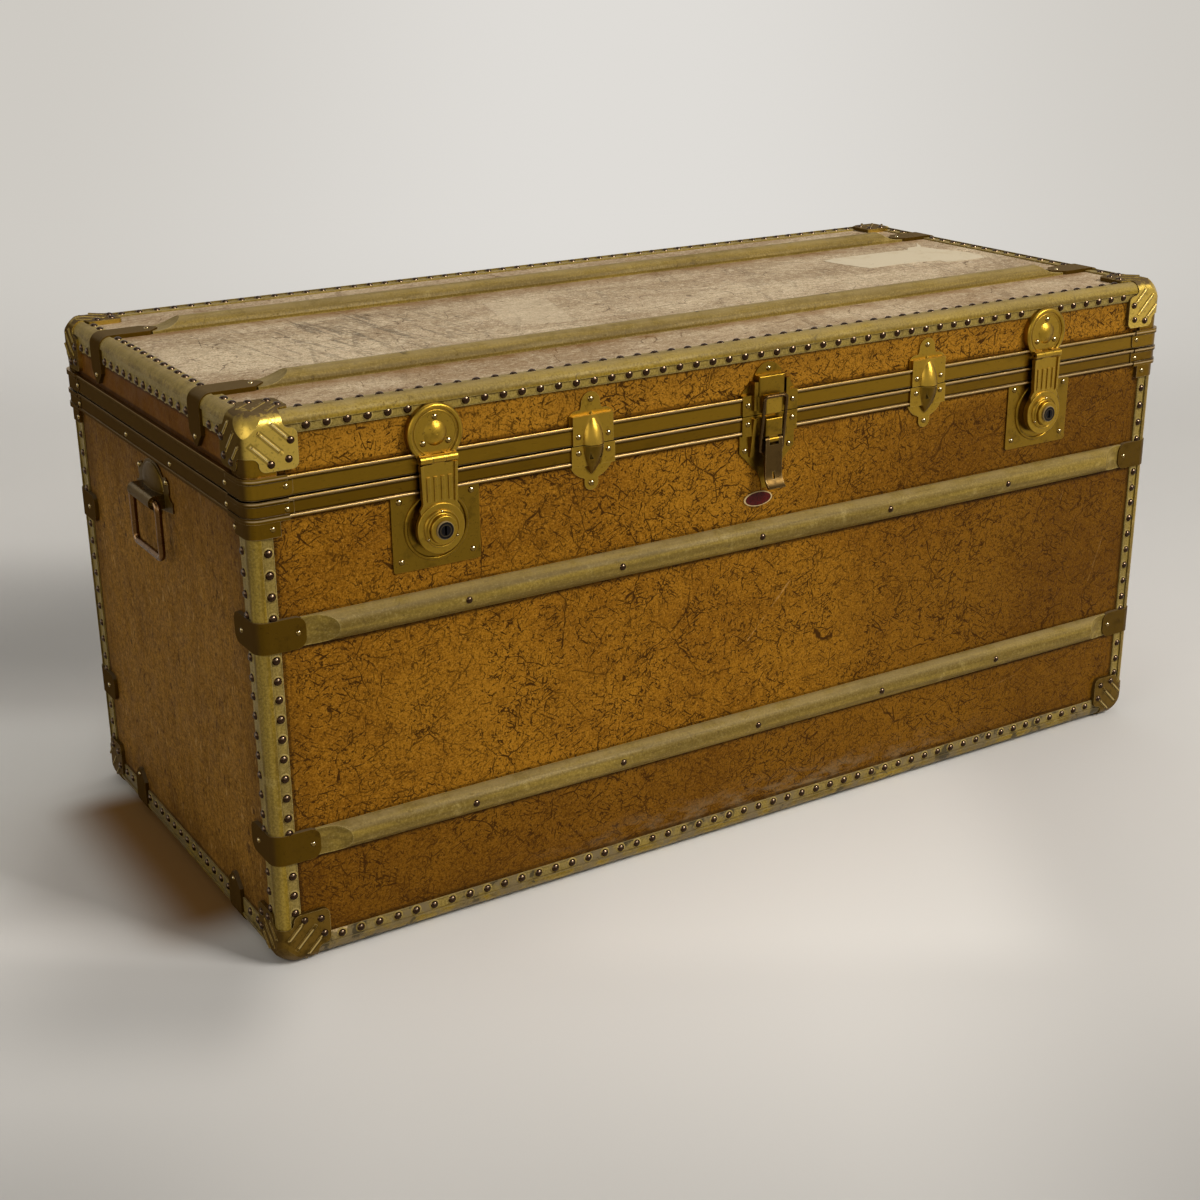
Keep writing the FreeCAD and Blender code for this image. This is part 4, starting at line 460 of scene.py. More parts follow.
def crackled(place, grain, rim):
    """The front and back: golden lacquer with fine veins, dashes, flecks, a dirty border, painted shade and
    painted contact shade.
    """
    across, _, height = place.split()
    cloud, specks = place.noise(48.0, 5.0, 0.65, 0.5), place.noise(310.0, 2.0, 0.6)
    base = coats(
        place.noise(5.5, 4.0, 0.6, 0.4).step(0.36, 0.66).mix("ochre", "amber"),
        (cloud.step(0.45, 0.72, 0.4), (168, 116, 26)), (cloud.step(0.46, 0.3, 0.4), (100, 62, 6)),
        (height.step(*LID_SKIN) * 0.5, (184, 131, 38)),
        (grain.step(0.52, 0.36, 0.55), (78, 46, 4)), (grain.step(0.54, 0.70, 0.42), (196, 142, 48)),
        (specks.step(0.47, 0.3, 0.38), (74, 44, 4)), (specks.step(0.56, 0.72, 0.3), (188, 134, 44)))
    veins = [place.turned(0, turn, 0).use(crackle_veins, cells=cells, wander=wander, width=width, cover=cover)
             * strength for cells, wander, width, cover, strength, turn in VEIN_LAYERS]
    veins += [place.turned(0, turn, 0).use(short_dashes, spread=(75.0, 75.0, 560.0), cover=cover) * 0.8
              for turn, cover in DASH_LAYERS]
    gather = place.noise(22.0, 3.0, 0.6).step(0.42, 0.6)
    veins += [place.use(blotches, scale=scale, cover=cover, softness=0.05) * (gather * strength)
              for scale, cover, strength in FLECK_LAYERS]
    veins.append(place.use(hair_lines, broad=7.0, width=0.0012, cover=0.5) * 0.25)
    veins = most(*veins).capped("MULTIPLY", place.noise(15.0, 4.0, 0.62, 0.4).step(0.42, 0.58, 1.5, 0.92))
    front = scored(veins.mix(base, "vein"), place, DARK_FRONT_SCORES, "vein", 0.8)
    front = scored(front, place, PALE_FRONT_SCORES, (206, 162, 92), 0.6)
    patchy = place.noise(26.0, 4.0, 0.6).step(0.3, 0.65, 1.0, 0.35)
    body = height.step(*BODY_SKIN)
    # Painted shade: worn darkens the body's board towards the right, and the low skin darkens it towards the
    # bottom.
    worn = across.step(-0.12, 0.42, 0.6) * body
    ashy = height.step(*ASHY_SKIN) * abs(across - 0.02).step(0.34, 0.06)
    chalky = place.stretch((30, 30, 90)).noise(1.0, 5.0, 0.68).step(0.42, 0.66)
    # Painted contact shade along the bindings' edges (seat) and, below, the contact lines by the slats and
    # bands.
    seat = rim.use(level_line, **FRONT_BINDING_SHADE) * 0.6 * body
    front = coats(
        front, (worn | height.step(*LOW_SKIN, 0.46), (66, 38, 4)),
        (rim.step(*FRONT_BORDER, 0.3) * patchy, (76, 48, 12)), (ashy * chalky * 0.5, (138, 122, 92)),
        ((levels(height, *FRONT_CONTACT_SHADES) | seat) * (patchy * 0.55 + 0.45), (42, 25, 5)))
    return front, veins


def streaked(place, grain, rim, veins):
    """The ends: duller brown with upright streaks and ticks, and painted contact shade by the bands and
    bindings.
    """
    height = place.split()[2]
    tweed = place.stretch((260, 260, 190)).noise(1.0, 3.0, 0.75)
    ticks = place.use(short_dashes, spread=(170.0, 170.0, 75.0), cover=0.38, patch=40.0)
    nicks = place.turned(0.12, 0, 0).use(short_dashes, spread=(190.0, 190.0, 70.0), cover=0.36, patch=31.0)
    patchy = place.noise(22.0, 4.0, 0.6).step(0.3, 0.65, 1.0, 0.3)
    # Painted contact shade along the bindings' edges (seat), joined below with the lines by the bands.
    seat = rim.use(level_line, **END_BINDING_SHADE) * 0.6
    return coats(
        place.stretch((60, 60, 11)).noise(1.0, 5.0, 0.62).step(0.2, 0.7).mix((124, 86, 26), "end_brown"),
        (place.noise(13.0, 4.0, 0.6).step(0.4, 0.65, 0.35), (164, 118, 44)),
        (grain.step(0.52, 0.34, 0.7), (70, 44, 8)), (grain.step(0.54, 0.72, 0.45), (192, 146, 76)),
        (veins * 0.45, (72, 46, 12)),
        (tweed.step(0.5, 0.36, 0.5), (80, 50, 14)), (tweed.step(0.53, 0.66, 0.4), (194, 144, 68)),
        (ticks * 0.75, (62, 38, 12)), (nicks * 0.6, (190, 148, 84)),
        (height.step(0.41, 0.425, 0.7), (112, 64, 8)),
        ((height * height.step(0.43, 0.42)).step(0.30, 0.41, 0.5), (84, 52, 14)),
        (rim.step(*END_BORDER) * 0.55 * patchy, (74, 46, 14)),
        (seat | levels(height, *END_CONTACT_SHADES), (40, 24, 8)))


def scuffed_top(place, grain):
    """The lid's top: the colour rubbed off to beige, with fibres, smears, scores and soil by the slats."""
    out = abs(place.split()[1])
    smear = place.turned(0, 0, 0.35).stretch((62, 9, 9)).noise(1.0, 5.0, 0.65, 0.6)
    rubs = place.turned(0, 0, -0.12).stretch((130, 13, 13)).noise(1.0, 4.0, 0.65, 0.5)
    spot = place.apart((-0.29, 0.03, TOP - 0.01)).step(0.17, 0.05)
    fibres = place.stretch((130, 210, 130)).noise(1.0, 4.0, 0.7)
    marks = most(
        place.use(crackle_veins, cells=21.0, wander=0.3, width=0.015, cover=0.49) * 0.7,
        place.use(crackle_veins, cells=46.0, wander=0.4, width=0.028, cover=0.45) * 0.6,
        place.stretch((1, 2.2, 1), (0, 0, 0.5)).use(hair_lines, broad=4.5, width=0.0022, cover=0.55) * 0.7)
    pale = place.stretch((5, 14, 5), (0, 0, 0.25)).noise(1.0, 6.0, 0.62, 0.6)
    top = coats(
        pale.step(0.35, 0.66).mix((170, 146, 114), "roof"),
        (place.noise(17.0, 5.0, 0.6).step(0.45, 0.68, 0.35), (192, 166, 136)),
        (smear.step(0.5, 0.66, 0.65) * place.noise(6.0, 2.0).step(0.42, 0.6, 1.0, 0.2), (124, 106, 82)),
        (rubs.step(0.5, 0.62, 0.75) * spot, (100, 88, 70)),
        (fibres.step(0.53, 0.66, 0.5), (134, 110, 84)), (fibres.step(0.48, 0.36, 0.5), (238, 222, 190)),
        (grain.step(0.52, 0.36, 0.6), (128, 102, 70)), (grain.step(0.54, 0.70, 0.6), (240, 224, 192)),
        (marks, (86, 64, 42)))
    top = scored(top, place, TOP_SCORES, (70, 52, 34), 0.85)
    here = place.node("Mapping", {"Vector": place, "Location": -Vector(PATCH_MIDDLE)})
    sides = zip(abs(here.turned(0, 0, PATCH_TURN)).split(), PATCH_HALF)
    wide, tall = (side.step(half, half - PATCH_EDGE) for side, half in sides)
    soil = abs(out - STRAP_Y).step(0.046, 0.013) | out.step(0.135, 0.15, 0.34)
    patchy = place.noise(24.0, 4.0, 0.6).step(0.3, 0.62, 1.0, 0.3)
    return coats(top, (wide * tall * 0.3, (222, 204, 172)), (soil * patchy * 0.75, (134, 96, 50))), marks


def painted(name, base, dull, spread, edge_reach=0.0012, leg=0.0, dirt=0.0, marks=(), mark_colour=None):
    """Old paint on fibre or wood: grain, worn edges, cracks, scuffs and, with a leg, a bead and flanges with
    painted shade between them.
    """
    finish = Finish(name, 0.45, 0.13)
    place, up = finish.place, finish.normal.split()[2]
    grain = place.stretch(spread).noise(1.0, 5.0, 0.62)
    body = grain.step(0.36, 0.62).mix(base, dull)
    if leg:
        rim = place.use(rim_distance)
        # With a leg: a paler flange, a golden band on the bead, painted shade in the groove between bead and
        # flange, and a dark line along the flange's edge.
        body = coats(body, (rim.step(0.0108, 0.0122, 0.6), (156, 136, 74)),
                     (rim.use(level_line, level=0.004, half=0.0045) * 0.35, (188, 162, 80)),
                     (levels(rim, (10.8, 1.1, 0.5), (leg, 0.9, 0.45)), (70, 54, 20)))
    fine = place.noise(520.0, 3.0, 0.7)
    grime = place.use(blotches, scale=150.0, cover=0.4, softness=0.1)
    dust = place.use(settled_dust, up=up, scale=45.0, amount=0.6)
    body = coats(
        body, (place.use(blotches, scale=26.0, cover=0.5, softness=0.2) * 0.3, (116, 97, 36)),
        (place.turned(0.5, 0.2, 0.8).use(blotches, scale=52.0, cover=0.42, softness=0.12) * 0.24, "bare"),
        (fine.step(0.54, 0.38, 0.4), (86, 70, 24)), (fine.step(0.54, 0.70, 0.16), (206, 188, 128)),
        (place.use(worn_edges, reach=edge_reach, break_up=140.0, amount=0.7), "bare"),
        (grime * 0.5, (84, 66, 30)),
        (place.use(hair_lines, broad=16.0, width=0.003, cover=0.5) * 0.5, (74, 58, 28)))
    if dirt:
        scrape = place.turned(0.3, 0.9, 0.1).use(blotches, scale=44.0, cover=0.44, softness=0.06)
        body = coats(body, (place.use(blotches, scale=30.0, cover=0.6, softness=0.2) * dirt, (116, 102, 76)),
                     (scrape * dirt, (64, 56, 38)))
    body = scored(dust.mix(body, (156, 136, 90)), place, marks, mark_colour, 0.95)
    finish.close(body, grain.step(0.3, 0.7, 0.52, 0.36) + dust * 0.25, grain * 0.5 + grime * -0.4, 0.0006, 0.7)


def metal(name, base, dark, roughness, cover=0.5, metallic=1.0, spread=(1, 1, 1), rubbed=None, patch=70.0,
          soot=0.0, dust=0.0, highlight_rows=(), shade_and_tarnish_rows=(), corner=None, glint=0.0, almond=False):
    """Old metal: tarnish in patches, specks, rubbed edges, dust on top, painted shade on the ends and beside
    ribs and beads, and painted highlights.
    """
    finish = Finish(name, roughness, 0.0, metallic)
    spot, (across, _, up) = finish.place, finish.normal.split()
    axes, place = spot.split(), spot.stretch(spread)
    patina = place.use(blotches, scale=patch, cover=cover, softness=0.25)
    specks = place.use(blotches, scale=430.0, cover=0.42, softness=0.1)
    body = coats(base, (patina * 0.6, dark), (specks * 0.5, dark))
    # rubbed is the colour of worn edges, and also the colour of the painted highlights below.
    rubbed = rubbed or (*(min(1.0, value * 2.2) for value in colour(base)[:3]), 1.0)
    # Rows on a band: dark lines under the ribs, partly painted shade and partly tarnish, and painted
    # highlights along the rib crests.
    if shade_and_tarnish_rows:
        body = levels(axes[2], *shade_and_tarnish_rows).mix(body, (44, 30, 8))
    if highlight_rows:
        body = levels(axes[2], *highlight_rows).mix(body, rubbed)
    wear = place.use(worn_edges, reach=0.0008, break_up=200.0, amount=0.85)
    # Cap beads: painted shade beside each bead, and a painted highlight along its crest in the rubbed colour,
    # joined with the worn edges.
    if corner:
        away = spot.use(cap_beads, corner=corner)
        body = (away.use(level_line, level=0.0027, half=0.0016) * 0.5).mix(body, dark)
        wear = wear | away.step(0.0014, 0.0004, 0.85)
    # Painted highlights on domed heads, joined with the worn edges; from here wear holds worn edges and
    # painted highlights.
    if glint:
        wear = wear | finish.normal.use(glint_spot, tight=0.95) * glint
    body = wear.mix(body, rubbed)
    if almond:
        body = almond_domes(axes, body)
    rough, shine = patina * 0.15 + roughness - wear * 0.08, metallic
    # Painted shade: the faces of the two ends are darkened towards the end-shade colour and made rougher and
    # less metallic, except on worn edges.
    if soot:
        kept = abs(across).step(0.55, 0.9, soot) * (1.0 - wear * 0.45)
        body, rough, shine = kept.mix(body, "soot"), rough + kept * 0.15, metallic - kept * metallic
    if dust:
        lying = spot.use(settled_dust, up=up, scale=110.0, amount=dust)
        body, rough, shine = lying.mix(body, "dust"), rough + lying * 0.4, (1.0 - lying * 0.9) * shine
    feed(finish.sockets["Metallic"], shine)
    relief = place.noise(800.0, 3.0, 0.6) * 0.25 + place.noise(90.0, 3.0, 0.5) * 1.2
    finish.close(body, rough, relief - specks * 0.3, 0.0004, 0.5)


def almond_domes(axes, body):
    """The dowels' pointed domes: a painted highlight in gold above the seam and painted shade in dark brown
    below it.
    """
    low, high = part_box("right_dowel_socket")
    half_width, half_height = 0.0105, 0.030
    across, rise = (abs(axes[0]) - (low.x + high.x) / 2) / half_width, axes[2] - high.z
    tall = rise / half_height
    inside = (across * across + tall * tall).step(1.0, 0.7)
    return coats(body, (inside * rise.step(-0.0005, 0.001, 0.6), (186, 150, 58)),
                 (inside * rise.step(0.0005, -0.001, 0.75), (74, 52, 14)))


def middle_and_half(node):
    low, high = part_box(node)
    return (low + high) / 2, (high - low) / 2


def plug_face():
    """A dark lock plug with a pale rim, by distance from the middle of its face."""
    finish = Finish("plug_face", 0.4, 0.1)
    middle, half = middle_and_half("right_key_plug")
    here = abs(finish.place) - (middle.x, 0, middle.z)
    reach = (here * (1 / half.x, 0, 1 / half.x)).length()
    ring = reach.step(0.88, 0.94) | reach.use(level_line, level=0.62, half=0.08) * 0.2
    mottle = finish.place.noise(420.0, 3.0, 0.6)
    face = mottle.step(0.4, 0.65).mix("steel", (12, 11, 14))
    finish.close(ring.mix(face, (138, 118, 78)), mottle.step(0.3, 0.7, 0.5, 0.3), ring + mottle, 0.0004, 0.7)


def oval_enamel():
    """Plain enamel with a cream rim, by distance from the badge's own middle."""
    finish = Finish("oval_enamel", 0.35, 0.15)
    middle, half = middle_and_half("oval_badge")
    reach = ((finish.place - middle) * (1 / half.x, 0, 1 / half.z)).length()
    ring, mottle = reach.step(0.89, 0.93), finish.place.noise(500.0, 4.0, 0.6)
    enamel = mottle.step(0.4, 0.65).mix("badge", (60, 14, 14))
    finish.close(ring.mix(enamel, "badge_rim"), mottle.step(0.3, 0.7, 0.45, 0.25), ring, 0.0003, 0.8)


def bare_timber():
    finish = Finish("bare_timber", 0.68, 0.3)
    rings = finish.place.stretch((3, 60, 60)).noise(1.0, 6.0, 0.6, 0.5)
    pores = finish.place.stretch((40, 700, 700)).noise(1.0, 2.0, 0.5)
    body = coats(rings.step(0.3, 0.7).mix("timber", (128, 94, 58)), (pores.step(0.6, 0.72, 0.5), (90, 62, 36)))
    finish.close(body, rings.step(0.3, 0.7, 0.78, 0.6), rings + pores, 0.0004, 0.6)


def paper_lining():
    finish = Finish("paper_lining", 0.82, 0.3)
    place = finish.place
    fibres = place.noise(160.0, 5.0, 0.7)
    body = coats("paper", (place.use(blotches, scale=6.0, cover=0.5, softness=0.25) * 0.5, (160, 132, 92)),
                 (fibres.step(0.55, 0.7, 0.35), (140, 118, 88)),
                 (place.use(hair_lines, broad=3.0, width=0.003, cover=0.5) * 0.5, (120, 96, 66)))
    finish.close(body, fibres.step(0.3, 0.7, 0.9, 0.74), fibres, 0.0003, 0.5)


def torn_paper():
    finish = Finish("torn_paper", 0.85, 0.3)
    place = finish.place
    fibres = place.noise(240.0, 5.0, 0.7)
    wrinkle = place.use(hair_lines, broad=30.0, width=0.012, cover=0.5)
    stain = place.use(blotches, scale=40.0, cover=0.5, softness=0.25)
    body = coats("remnant", (stain * 0.4, (190, 164, 118)), (wrinkle * 0.35, (150, 126, 90)))
    finish.close(body, fibres.step(0.3, 0.7, 0.95, 0.75), fibres + wrinkle, 0.0005, 0.6)


def studio_floor():
    """A pale floor that takes the shadow, with painted shadows and light on it, and a wall that glows pale.

    Its masks run away from the camera's standing place and aside of it, in metres from the middle.
    """
    finish = Finish("studio_floor", 0.9, 0.1)
    place, painted_shadow_colour = finish.place, (6, 6, 6)
    away, side, (x, y, _) = place.dot(AHEAD), place.dot(ASIDE), place.split()
    cloud = place.noise(0.7, 3.0, 0.5)
    # Painted shade: the floor darker towards the near side (near) and towards its left and right corners
    # (left, right).
    near = away.step(-0.40, -0.98, 1.5)
    left = near * side.step(-0.18, -0.45, 0.14)
    right = away.step(-0.05, -0.42, 1.0, 0.75) * side.step(0.14, 0.46, 0.22)
    # Painted shadows left of the trunk: a patch of shade in front of it and a shadow further back (far).
    painted_shadow_pool = (away.step(-0.38, -0.47) * away.step(-0.66, -0.51) * side.step(-0.26, -0.36)
            * side.step(-0.60, -0.44, 1.0, 0.5))
    far = away.step(0.06, 0.28) * away.step(0.74, 0.46) * side.step(-0.42, -0.68, 0.27)
    # Painted light: a lighter patch left of the trunk and a sheen on the floor in front of it.
    painted_light_pool = away.step(-0.38, -0.31) * away.step(0.14, 0.02) * side.step(-0.53, -0.62)
    sheen = (away.step(-0.50, -0.40) * away.step(-0.02, -0.10)
             * (side.step(-0.15, 0.0) * side.step(0.42, 0.28)))
    # Painted contact shadow, warm brown, on the floor beside the trunk's left end (stain).
    stain = (y.step(0.20, 0.145) * y.step(-0.175, -0.095) * (abs(x) - EDGE_X).step(0.10, 0.02)
             * side.step(0.0, -0.1))
    body = coats(
        cloud.step(0.3, 0.7, 0.2).mix("floor", (214, 210, 203)), (near * 0.23 + (left + right), painted_shadow_colour),
        (painted_shadow_pool * 0.31, painted_shadow_colour), (far, painted_shadow_colour), (painted_light_pool, (255, 254, 250)), (sheen * 0.4, (255, 253, 248)),
        (stain, (141, 105, 59)))
    finish.close(body, cloud.step(0.3, 0.7, 0.95, 0.85))
    # The wall glows with its own emission, paler in the middle, for camera, glossy and transmission rays.
    middle = abs(side - 0.05).step(1.5, 0.1)
    glow = place.node("Emission", {"Color": middle.mix((206, 202, 195), (223, 220, 215)), "Strength": 1.0})
    rays = add_node(finish.tree, "LightPath").outputs
    seen = most(*(Wire(rays[kind]) for kind in ("Is Camera Ray", "Is Glossy Ray", "Is Transmission Ray")))
    wall = (away.step(0.9, 2.4) | away.step(-1.9, -4.5) | abs(side).step(1.9, 4.5)) * seen
    plain = Wire(finish.tree.nodes["Principled BSDF"].outputs[0])
    both = place.node("MixShader", {0: wall, 1: plain, 2: glow})
    feed(finish.tree.nodes["Material Output"].inputs["Surface"], both)


def mix_finishes():
    for finish in (amber_board, plug_face, oval_enamel, bare_timber, paper_lining, torn_paper, studio_floor):
        finish()
    dull, lengthwise = (114, 92, 34), (8, 70, 70)
    painted("binding_foot", "fibre", dull, lengthwise, leg=19.6, dirt=0.85, marks=FOOT_CHIPS,
            mark_colour=(232, 202, 150))
    painted("binding_lid", "fibre", dull, lengthwise, leg=17.4)
    painted("binding_upright", "fibre", (104, 82, 28), (140, 140, 8), leg=19.8)
    painted("slat_paint", "slat", (114, 93, 38), (6, 150, 150), 0.002, marks=LID_SLAT_DOTS,
            mark_colour=(52, 38, 22))
    painted("nail_seat", (166, 142, 74), (122, 99, 42), (40, 40, 40))
    metal("antique_brass", "brass", "tarnish", 0.28)
    metal("polished_brass", (164, 131, 44), (80, 60, 15), 0.33, 0.46, rubbed=(216, 182, 96), almond=True)
    metal("handle_brass", (100, 78, 22), (42, 30, 8), 0.26, rubbed=(230, 204, 140), soot=0.6)
    metal("gilt_cap", "gilt", (84, 60, 12), 0.3, 0.47, rubbed=(240, 216, 150), patch=150.0, soot=0.95,
          dust=1.7, corner=(EDGE_X, EDGE_Y, TOP))
    metal("dull_cap", (114, 88, 34), (52, 38, 12), 0.4, 0.55, metallic=0.8, rubbed=(206, 182, 116),
          patch=110.0, soot=0.6, corner=(EDGE_X, EDGE_Y, FOOT))
    for name, base, dark in (("lid_band_plate", (136, 104, 27), (98, 73, 17)),
                             ("body_band_plate", (116, 86, 19), (84, 62, 13))):
        metal(name, base, dark, 0.3, 0.48, spread=(0.3, 0.3, 1), rubbed=(206, 180, 136), soot=0.96,
              highlight_rows=BAND_HIGHLIGHTS, shade_and_tarnish_rows=BAND_SHADE_AND_TARNISH)
    metal("dark_strap", "strap", (60, 43, 10), 0.42, metallic=0.8, rubbed=(150, 118, 52), soot=0.96, dust=2.2)
    metal("hinge_brass", "strap", "tarnish", 0.38)
    metal("oxidised_steel", (84, 64, 36), (34, 26, 16), 0.26, 0.45, rubbed=(186, 160, 110))
    metal("lever_brass", (86, 66, 34), (44, 32, 15), 0.34, rubbed=(196, 168, 112))
    metal("bronzed_wire", "wire", (40, 28, 14), 0.26, 0.45, rubbed=(224, 184, 140), glint=0.7)
    metal("nail_head", "nail", (34, 22, 14), 0.26, 0.45, metallic=0.9, rubbed=(200, 172, 140), glint=0.34)
    metal("rivet_head", (126, 102, 50), (50, 36, 14), 0.2, 0.42, rubbed=(246, 228, 180), glint=1.0)


def dress(material, *names):
    for name in names:
        for slot in NODES[name].material_slots:
            slot.material = bpy.data.materials[material]


def nodes_like(*endings):
    return [name for name in NODES if name.endswith(endings)]


# Heads of nails and rivets, their seats, and stamped rings


def new_object(name, points, faces, material, smooth=True):
    mesh = bpy.data.meshes.new(name)
    mesh.from_pydata([tuple(point) for point in points], [], faces)
    mesh.update()
    mesh.polygons.foreach_set("use_smooth", [smooth] * len(mesh.polygons))
    mesh.materials.append(bpy.data.materials[material])
    made = bpy.data.objects.new(name, mesh)
    bpy.context.scene.collection.objects.link(made)
    return made


def finish_piece(name, points, faces, body, material, smooth=True):
    piece = new_object(name, points, faces, material, smooth)
    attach(piece, body)


def lathe(profile, sides=12):
    """A closed form turned about the z axis: its profile runs from the middle of its foot up to its crown."""
    points, faces = [], []
    for wide, high in profile:
        points += [(wide * math.cos(math.tau * side / sides), wide * math.sin(math.tau * side / sides), high)
                   for side in range(sides)]
    for low in range(0, (len(profile) - 1) * sides, sides):
        high = low + sides
        faces += [(low + side, low + (side + 1) % sides, high + (side + 1) % sides, high + side)
                  for side in range(sides)]
    faces.append(tuple(reversed(range(sides))))
    faces.append(tuple((len(profile) - 1) * sides + side for side in range(sides)))
    return points, faces


def head(radius, rise, rings=3):
    """The domed head of a nail or rivet, with its foot a little under the surface."""
    angles = (math.radians(80) * ring / rings for ring in range(rings + 1))
    dome = [(radius * math.cos(angle), rise * math.sin(angle)) for angle in angles]
    return lathe([(radius, -rise * 0.2)] + dome)


def scatter(name, shape, spots, seed, lean=0.06, material="nail_head", body=None):
    """One mesh of many like forms, each turned, tilted and sized a little apart from the next.

    It rides on the body that the first word of its name says, unless another is given.
    """
    chance = random.Random(seed)
    form, form_faces = shape
    points, faces = [], []
    for spot, normal in spots:
        tilt = Vector([chance.uniform(-lean, lean) for _ in range(3)])
        turn = (Vector(normal) + tilt).normalized().to_track_quat("Z", "Y").to_matrix()
        turn = turn @ Matrix.Rotation(chance.uniform(0, math.tau), 3, "Z")
        grow = chance.uniform(0.96, 1.04)
        start = len(points)
        points += [Vector(spot) + turn @ (Vector(point) * grow) for point in form]
        faces += [tuple(start + index for index in face) for face in form_faces]
    finish_piece(name, points, faces, body or name.split("_")[0], material)


def settle(node, out, spots):
    """Each spot moved straight in onto a node's surface, with the way that the surface faces there."""
    out, found = Vector(out), []
    for spot in map(Vector, spots):
        hit, place, normal, _ = NODES[node].ray_cast(spot - out * spot.dot(out) + out, -out)
        if not hit:
            raise RuntimeError(f"{node} has no surface at {tuple(spot)}")
        found.append((place, normal))
    return found


def mirrored(node, out, spots, across=True, deep=True):
    """The same spots settled on both sides of the middle planes, across and front to back."""
    found = []
    for i in (1, -1) if across else (1,):
        for j in (1, -1) if deep else (1,):
            found += settle(node, (out[0] * i, out[1] * j, out[2]), [(x * i, y * j, z) for x, y, z in spots])
    return found


def spread_row(reach, pitch, gap=0.0, half=0.0):
    """Even places from -reach to reach near the pitch, but for a gap on each side, given by its middle."""
    count = max(1, round(2 * reach / pitch))
    row = [-reach + 2 * reach * index / count for index in range(count + 1)]
    return [value for value in row if not gap - half < abs(value) < gap + half]


class TRUNK_OT_finishes(bpy.types.Operator):
    """Mixes every finish from the chosen colours"""
    bl_idname = "trunk.finishes"
    bl_label = "Finishes"

    def execute(self, context):
        mix_finishes()
        return {"FINISHED"}


class TRUNK_OT_cases(bpy.types.Operator):
    """Finishes the boards, cover sheets and lining of the body and the lid"""
    bl_idname = "trunk.dress_cases"
    bl_label = "Cases and lining"

    def execute(self, context):
        dress("amber_board", *nodes_like("_cover_sheets"))
        dress("bare_timber", *nodes_like("_board"), "body_locating_rim")
        dress("paper_lining", *nodes_like("_lining_sheets"))
        return {"FINISHED"}


class TRUNK_OT_trim(bpy.types.Operator):
    """Finishes the bindings, slats, straps and bands"""
    bl_idname = "trunk.dress_trim"
    bl_label = "Bindings, slats and bands"

    def execute(self, context):
        dress("binding_foot", "body_bottom_bindings")
        dress("binding_lid", "lid_top_bindings")
        dress("binding_upright", "body_upright_bindings")
        dress("slat_paint", *nodes_like("_slats"))
        dress("lid_band_plate", "lid_band", "lid_band_clamps")
        dress("body_band_plate", "body_band", "body_band_clamps")
        dress("dark_strap", *nodes_like("_straps"))
        return {"FINISHED"}


class TRUNK_OT_hardware(bpy.types.Operator):
    """Finishes the locks, dowels, latch, caps, handles, hinges and badge"""
    bl_idname = "trunk.dress_hardware"
    bl_label = "Hardware"

    def execute(self, context):
        for material, *endings in (
                ("antique_brass", "latch_catch_plate", "latch_base_plate", "latch_lever_bracket",
                 "_lock_plate"),
                ("polished_brass", "latch_catch_lug", "_strike_disc", "_hasp", "_dowel_tongue",
                 "_dowel_socket"),
                ("lever_brass", "latch_lever"), ("handle_brass", "_handle_plate"),
                ("gilt_cap", "lid_corner_caps"), ("dull_cap", "body_corner_caps"),
                ("oxidised_steel", "latch_bail", "latch_lever_pin", "hasp_pins", "hinge_pins"),
                ("plug_face", "_key_plug"), ("hinge_brass", "hinge_lid_leaves", "hinge_body_leaves"),
                ("bronzed_wire", "_handle_bail"), ("oval_enamel", "oval_badge")):
            dress(material, *nodes_like(*endings))
        return {"FINISHED"}


